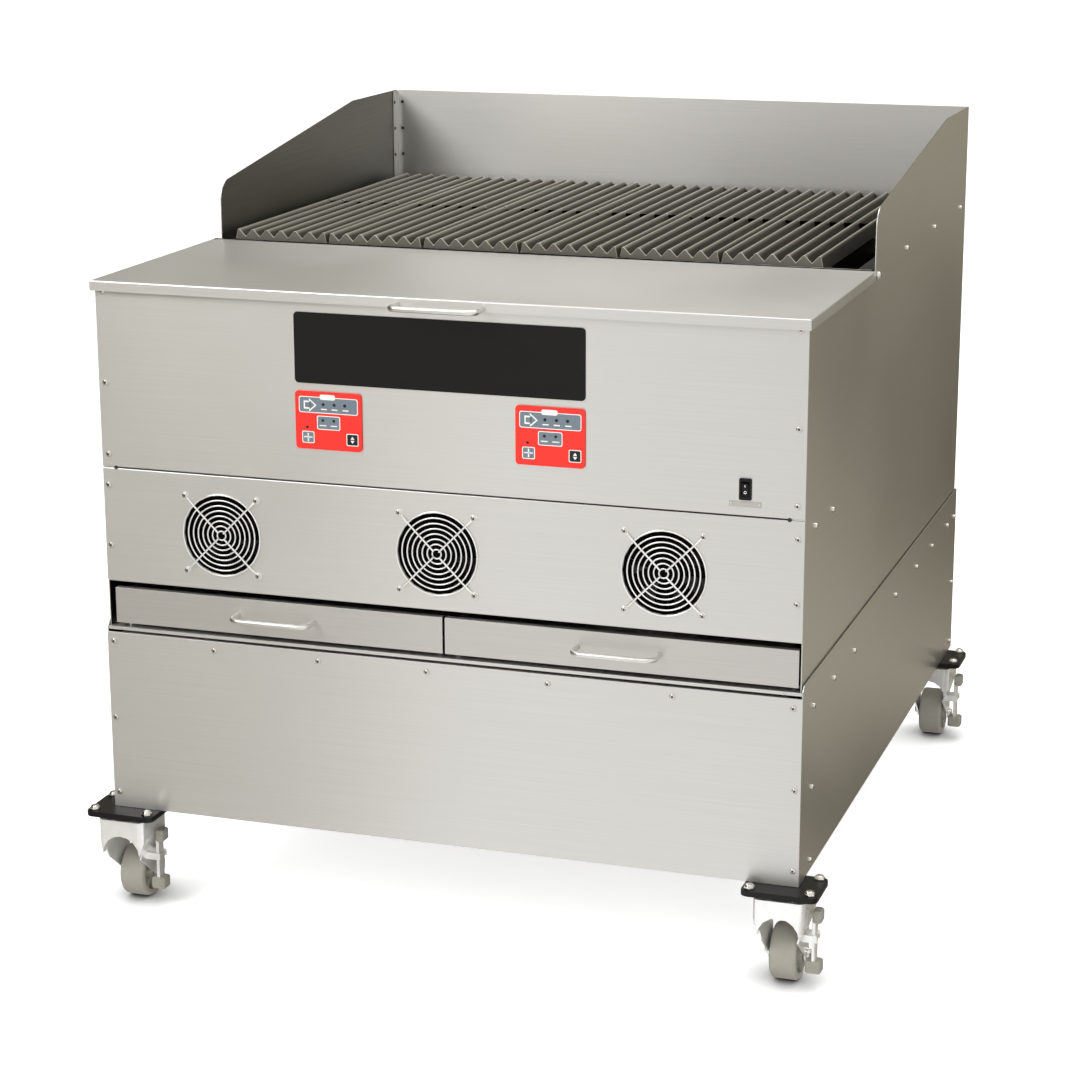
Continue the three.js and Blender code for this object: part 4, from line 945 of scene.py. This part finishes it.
# The on and off marks, printed on the two slopes of the key, where a line from the front meets them
for mark, height in (("on", SWITCH_HEIGHT + 4.2), ("off", SWITCH_HEIGHT - 4.2)):
    spot, slope = key.ray_cast(at(SWITCH_X, -40, height), Vector((0, 1, 0)))[1:3]
    if mark == "on":
        print_mark = block((-0.45, 0.45), (-0.12, 0.05), (-1.7, 1.7))
    else:
        bpy.ops.mesh.primitive_torus_add(
            major_segments=20, minor_segments=6, major_radius=1.5 * MM, minor_radius=0.4 * MM
        )
        print_mark = new_piece()
        print_mark.rotation_euler = (QUARTER, 0, 0)
        settle(print_mark)
        print_mark.scale = (1, 0.3, 1)
        settle(print_mark)
    print_mark.rotation_euler = (-math.atan2(slope.z, -slope.y), 0, 0)
    print_mark.location = spot
    settle(print_mark)
    smooth(print_mark)
    finish_piece(print_mark, f"rocker_{mark}_mark", "power_rocker", white_print)

strip = block((-21, 21), (-0.6, 0), (-3.6, 3.6), edge=0.2)
strip.location = at(SWITCH_X, 0, 506)
settle(strip)
finish_piece(strip, "switch_strip", "cabinet", strip_steel)
strip_rivet = rivet_head(1.9, 1.0)
rows = spread(strip_rivet, facing([(SWITCH_X + side * 18, -0.6, 506) for side in (-1, 1)], "front"), "rows")
finish_piece(rows, "switch_strip_rivets", "cabinet", chrome)
drop(strip_rivet)

# Name plate: a plain sheet

plate = block((-200.5, 200.5), (-1.5, -0.2), (624.8, 719.3))
fold_edge(plate, lambda place, run: abs(run.y) > 1.0 * MM, 5.5, 6)
break_edges(plate, 0.4)
smooth(plate)
plate.location = at(0, 0, 0)
settle(plate)
finish_piece(plate, "name_plate_sheet", "cabinet", name_black, ["name_plate"])

# Castors: plate, dome nuts, tapered fork, wheel and brake lever

PLATE_TOP, PLATE_UNDERSIDE = 142.7, 134.7
WHEEL_RADIUS, TRAIL, AXLE_REACH = 37.5, 30.0, 25.5
RACE_RADIUS, RACE_HEIGHT = 30.2, 131.2


def castor_wheel():
    """A rubber tyre on a dished centre with ribs, turned about its axle; its middle is the origin."""
    wheel = turned(WHEEL_RADIUS, 37, (0, 0, 0), "X", 64)
    fold_edge(wheel, lambda place, run: abs(place.x) > 18.3 * MM and place.yz.length > 30 * MM, 5, 4)
    for side in (-1, 1):
        choose(wheel, faces=lambda place, normal: normal.x * side > 0.9 and place.yz.length < 30 * MM)
        # The dish, the hub in it and the hub's bore.
        for inset, step in ((4.5, -9), (14, 12.5), (3, -2)):
            bpy.ops.mesh.inset(thickness=inset * MM)
            pull(x=side * step)
    break_edges(wheel, 0.6, angle=50)
    ribs = []
    for index in range(6):
        for side in (-1, 1):
            rib = block((side * 13 - 3.4, side * 13 + 3.4), (-1.3, 1.3), (12.5, 28.8), edge=0.5)
            rib.matrix_world = Matrix.Rotation(math.radians(60 * index + 15), 4, "X")
            settle(rib)
            ribs.append(rib)
    wheel = merge_into([wheel] + ribs, "wheel")
    smooth(wheel, 40)
    return wheel


def foot_pad(inner, low, high):
    """A rounded, ribbed rubber pad on an end of the brake lever, between two heights."""
    parts = [block((inner + 0.3, 50.7), (-4.4, 16.4), (low + 0.4, high - 0.4), corner=4, edge=3.4)]
    for step in range(-2, 3):
        height = (low + high) / 2 + 2.9 * step
        parts.append(block((inner, 51.0), (-4.8, 16.8), (height - 0.7, height + 0.7), corner=4, edge=0.4))
    return parts


def brake_lever():
    """A zinc-plated strip on a barrel round its pin, from the castor's axis on the floor."""
    strip = block((38.0, 43.0), (-2.0, 14.0), (32.0, 104.0), edge=1.2)
    barrel = turned(5.0, 15.8, (40.5, 6.0, 72.0), "Y", 24, edge=0.5)
    lever = merge_into([strip, barrel], "lever")
    smooth(lever, 40)
    return lever


def race_shade_ring():
    """The gap between the swivel race and the hood, as a thin dark ring: painted shade."""
    ring = wire_ring(RACE_RADIUS, 1.6, 0, 48)
    ring.rotation_euler = (QUARTER, 0, 0)
    ring.location = (0, 0, RACE_HEIGHT * MM)
    settle(ring)
    smooth(ring, 60)
    return ring


nut_up = dome_nut(7.6, 7.0)
nut_under = turned(8.0, 3.4, (0, 0, -1.7), "Z", 6, edge=0.6)
axle_nut = dome_nut(7.2, 6.0)
axle_nut.rotation_euler = (0, QUARTER, 0)
settle(axle_nut)
wheel_master = castor_wheel()
lever_master = brake_lever()
pads_master = merge_into(foot_pad(38.0, 93, 112) + foot_pad(29.5, 22, 41), "pads")
smooth(pads_master, 40)
race_shade_master = race_shade_ring()
plate_master = block((-51, 51), (-39, 39), (PLATE_UNDERSIDE, PLATE_TOP), corner=10, edge=0.8)
smooth(plate_master, 40)

# Where the kingpins stand, from the cabinet's middle and its front face.
CASTORS = {
    "front_left": (-472, 4),
    "front_right": (472, 4),
    "back_left": (-472, 1056),
    "back_right": (472, 1056),
}
for corner, (x, y) in CASTORS.items():
    foot = at(x, y, -BASE_UNDERSIDE)
    hub = at(x, y + TRAIL, WHEEL_RADIUS - BASE_UNDERSIDE)
    fork_body, wheel_body, lever_body = corner + "_castor_fork", corner + "_wheel", corner + "_brake_lever"
    top = set_down(plate_master, foot)
    stands_for = [corner + "_castor_plate"]
    finish_piece(top, corner + "_top_plate", "cabinet", powder_coat, stands_for)
    # The nuts that stand clear of the cabinet sit on the plate, the others under it.
    nuts = []
    for dx, dy in ((-40, -28.5), (-40, 28.5), (40, -28.5), (40, 28.5)):
        outside = dx * x > 0 or (dy < 0 and y < 100)
        level = PLATE_TOP if outside else PLATE_UNDERSIDE
        nuts.append(copy_at(nut_up if outside else nut_under, foot + Vector((dx, dy, level)) * MM))
    nuts = merge_into(nuts, "nuts")
    finish_piece(nuts, corner + "_plate_nuts", "cabinet", chrome)
    fork = solid_copy(fork_body)
    break_edges(fork, 0.6)
    smooth(fork, 40)
    finish_piece(fork, corner + "_fork_pressing", fork_body, zinc, [fork_body])
    beside = Vector((AXLE_REACH * MM, 0, 0))
    axle = spread(axle_nut, [(hub + beside, 0.0), (hub - beside, math.pi)], "axle")
    finish_piece(axle, corner + "_axle_nuts", fork_body, chrome)
    # A dark ring under the plate: painted shade of the swivel gap.
    race_shade = set_down(race_shade_master, foot)
    finish_piece(race_shade, corner + "_race_gap_shade", fork_body, painted_shade_black)
    wheel = set_down(wheel_master, hub)
    finish_piece(wheel, corner + "_wheel_tyre", wheel_body, tread, [wheel_body])
    lever = set_down(lever_master, foot)
    finish_piece(lever, corner + "_lever_strip", lever_body, zinc, [lever_body])
    pads = set_down(pads_master, foot)
    finish_piece(pads, corner + "_lever_pads", lever_body, grip)

drop(nut_up, nut_under, axle_nut, wheel_master, lever_master, pads_master, race_shade_master, plate_master)

# Studio: floor paper, world, mirrored cards, lamps and the camera


def floor_paper():
    """White paper: white to the camera and in polished metal, darker only where little light comes."""
    material, tree, shader = new_material("WhiteFloorPaper")
    feed(tree, shader, {"Base Color": (0.78, 0.78, 0.78, 1.0), "Roughness": 0.9})
    ray = node(tree, "ShaderNodeLightPath")
    mirrored = node(
        tree,
        "ShaderNodeMath",
        settings={"operation": "ADD", "use_clamp": True},
        links={0: ray.outputs["Is Glossy Ray"], 1: ray.outputs["Is Transmission Ray"]},
    )
    white = node(tree, "ShaderNodeEmission", values={"Color": (1, 1, 1, 1), "Strength": 1.0})
    # What stands on the paper darkens it only within a few centimetres.
    contact = node(tree, "ShaderNodeAmbientOcclusion", settings={"samples": 8}, values={"Distance": 0.085})
    close = node(
        tree,
        "ShaderNodeMath",
        settings={"operation": "POWER"},
        values={1: 1.8},
        links={0: contact.outputs["AO"]},
    )
    kept = node(
        tree,
        "ShaderNodeMath",
        settings={"operation": "MULTIPLY"},
        values={1: 0.72},
        links={0: close.outputs["Value"]},
    )
    glow = node(
        tree, "ShaderNodeEmission", values={"Color": (1, 1, 1, 1)}, links={"Strength": kept.outputs["Value"]}
    )
    paper = node(tree, "ShaderNodeBsdfDiffuse", links={"Color": contact.outputs["Color"]})
    seen = node(tree, "ShaderNodeAddShader", links={0: glow.outputs["Emission"], 1: paper.outputs["BSDF"]})
    lit = node(
        tree,
        "ShaderNodeMixShader",
        links={0: mirrored.outputs["Value"], 1: shader.outputs["BSDF"], 2: white.outputs["Emission"]},
    )
    mix = node(
        tree,
        "ShaderNodeMixShader",
        links={0: ray.outputs["Is Camera Ray"], 1: lit.outputs["Shader"], 2: seen.outputs["Shader"]},
    )
    feed(tree, tree.nodes["Material Output"], links={"Surface": mix.outputs["Shader"]})
    return material


bpy.ops.mesh.primitive_plane_add(size=60, location=(0, 0, -0.0002))
floor = new_piece()
floor.name = "floor"
floor.data.materials.append(floor_paper())

world = bpy.data.worlds.new("Studio")
bpy.context.scene.world = world
world.use_nodes = True
sky = world.node_tree
ray = node(sky, "ShaderNodeLightPath")
shiny = node(
    sky,
    "ShaderNodeMath",
    settings={"operation": "ADD"},
    links={0: ray.outputs["Is Camera Ray"], 1: ray.outputs["Is Glossy Ray"]},
)
seen = node(
    sky,
    "ShaderNodeMath",
    settings={"operation": "ADD", "use_clamp": True},
    links={0: shiny.outputs["Value"], 1: ray.outputs["Is Transmission Ray"]},
)
level = node(
    sky,
    "ShaderNodeMapRange",
    values={"From Min": 0.0, "From Max": 1.0, "To Min": 0.6, "To Max": 1.0},
    links={"Value": seen.outputs["Value"]},
)
feed(sky, sky.nodes["Background"], {"Color": (1, 1, 1, 1)}, {"Strength": level.outputs["Result"]})


def soft_lamp(name, place, aim, size, power):
    """A square soft box of the given side and power, turned to its aim."""
    bpy.ops.object.light_add(type="AREA", location=place)
    lamp = bpy.context.active_object
    lamp.name = name
    lamp.data.shape = "SQUARE"
    lamp.data.size = size
    lamp.data.energy = power
    lamp.rotation_euler = (Vector(aim) - Vector(place)).to_track_quat("-Z", "Y").to_euler()
    return lamp


soft_lamp("KeyLamp", (-2.6, -3.4, 3.4), (0, 0, 0.5), 2.4, 90)
soft_lamp("TopLamp", (0.6, 0.6, 4.2), (0, 0, 0.5), 3.0, 70)
soft_lamp("FillLamp", (1.6, -3.6, 0.9), (0, 0, 0.1), 2.0, 55).visible_glossy = False


def shaded_card(name, width, height, place, turn, stops):
    """A studio card out of view, shaded from one end to the other, that only polished metal mirrors."""
    bpy.ops.mesh.primitive_plane_add(size=1, location=place, rotation=turn)
    card = new_piece()
    card.name = name
    card.scale = (width, height, 1)
    material, tree, _ = new_material(name)
    spot = node(tree, "ShaderNodeTexCoord")
    parts = node(tree, "ShaderNodeSeparateXYZ", links={"Vector": spot.outputs["Object"]})
    share = node(
        tree,
        "ShaderNodeMapRange",
        values={"From Min": -0.5, "From Max": 0.5, "To Min": 0.0, "To Max": 1.0},
        links={"Value": parts.outputs["X"]},
    )
    shade = node(tree, "ShaderNodeValToRGB", links={"Fac": share.outputs["Result"]})
    set_ramp(shade, stops)
    glow = node(tree, "ShaderNodeEmission", links={"Color": shade.outputs["Color"]})
    feed(tree, tree.nodes["Material Output"], links={"Surface": glow.outputs["Emission"]})
    card.data.materials.append(material)
    card.visible_camera = False
    card.visible_shadow = False
    card.visible_diffuse = False


# In front of the machine: a floor card and a wall card behind it, slanted across the front panels' view.
FRONT_SLANT = math.radians(22)
across_front = Vector((math.cos(FRONT_SLANT), -math.sin(FRONT_SLANT), 0))
away_front = Vector((-math.sin(FRONT_SLANT), -math.cos(FRONT_SLANT), 0))
FRONT_SHADES = [
    (0.3, "9D988D"),
    (0.589, "9F9A8F"),
    (0.631, "A9A49A"),
    (0.653, "C0BCB4"),
    (0.672, "D9D6D0"),
    (0.694, "FAF9F6"),
    (0.747, "FDFCFA"),
    (0.8, "E9E8E5"),
    (1.0, "E6E5E2"),
]
FLOOR_START = [
    (0.3, "A8A398"),
    (0.589, "B7B2A9"),
    (0.631, "BDB9B0"),
    (0.653, "CCC8C1"),
    (0.672, "DFDCD7"),
]
WALL_END = [(0.8, "E4E2DE"), (1.0, "EDEBE8")]
card_middle = -1.5 * across_front + Vector((0, 0, 0.0005))
floor_middle = card_middle + 4.375 * away_front
wall_middle = card_middle + 8 * away_front + Vector((0, 0, 3.5))
floor_shades, wall_shades = FLOOR_START + FRONT_SHADES[5:], FRONT_SHADES[:-2] + WALL_END
shaded_card("FrontFloorCard", 9.0, 7.25, floor_middle, (0, 0, -FRONT_SLANT), floor_shades)
shaded_card("FrontWallCard", 9.0, 7.0, wall_middle, (QUARTER, 0, -FRONT_SLANT), wall_shades)

# To the right of the machine: a floor card along it, and a slanted one behind that.
SIDE_SHADES = [
    (0.0, "989282"),
    (0.16, "8A8475"),
    (0.22, "5D584C"),
    (0.28, "5F5A4E"),
    (0.4, "A19B8B"),
    (0.55, "868072"),
    (0.63, "726C5E"),
    (0.7, "656053"),
    (0.86, "5D584C"),
    (1.0, "686356"),
]
shaded_card("SideFloorCard", 4.0, 3.6, (2.3, 1.25, 0.0005), (0, 0, QUARTER), SIDE_SHADES)
SIDE_SLANT = math.radians(12)
along_side = Vector((math.sin(SIDE_SLANT), math.cos(SIDE_SLANT), 0))
beside = Vector((math.cos(SIDE_SLANT), -math.sin(SIDE_SLANT), 0))
slant_middle = Vector((0.5, -0.5, 0.001)) + 3.0 * along_side + 1.0 * beside
SLANT_SHADES = [(0.0, "A8A292"), (0.3, "BAB4A4"), (1.0, "BAB4A4")]
shaded_card("SideSlantCard", 2.0, 4.2, slant_middle, (0, 0, -SIDE_SLANT), SLANT_SHADES)

# Behind, under and to the left of the machine.
BACK_SHADES = [
    (0.0, "8F8A7E"),
    (0.44, "9B968A"),
    (0.475, "B2AEA4"),
    (0.508, "D2CFC8"),
    (0.547, "BAB6AD"),
    (0.588, "938E82"),
    (0.601, "7D776B"),
    (0.64, "7A7466"),
    (0.664, "958F80"),
    (0.742, "958F80"),
    (0.757, "A8A292"),
    (1.0, "BAB4A4"),
]
LOW_SHADES = [(0.0, "686356"), (1.0, "726C5E")]
UNDER_SHADOW_SHADES = [(0.0, "5C584E"), (1.0, "5C584E")]
LEFT_SHADES = [(0.0, "24221E"), (1.0, "24221E")]
shaded_card("BackWallCard", 11.0, 9.0, (-1.5, 3.25, 4.5), (QUARTER, 0, 0), BACK_SHADES)
shaded_card("LowWallCard", 2.1, 0.45, (1.35, 3.2, 0.225), (QUARTER, 0, 0), LOW_SHADES)
# Under the machine, a dark card that only polished metal mirrors: painted shadow, since the paper shows white
# in reflections even where the machine shades it.
shaded_card("UnderShadowCard", 0.96, 1.02, (0, 0, 0.0006), (0, 0, 0), UNDER_SHADOW_SHADES)
shaded_card("LeftCard", 6.0, 3.5, (-3.2, -0.5, 1.75), (QUARTER, 0, QUARTER), LEFT_SHADES)

# The camera's place, turn and lens, fitted to the cabinet's edges as the photo shows them
CAMERA_PLACE = (1.21069, -3.75348, 1.47895)
CAMERA_TURN = (QUARTER - 0.2594, 0.00256, 0.32132)
CAMERA_LENS = 90.07
bpy.ops.object.camera_add(location=CAMERA_PLACE, rotation=CAMERA_TURN)
camera = bpy.context.active_object
camera.name = "Camera"
camera.data.lens = CAMERA_LENS
camera.data.sensor_width = 36
bpy.context.scene.camera = camera
bpy.context.scene.view_settings.view_transform = "Standard"
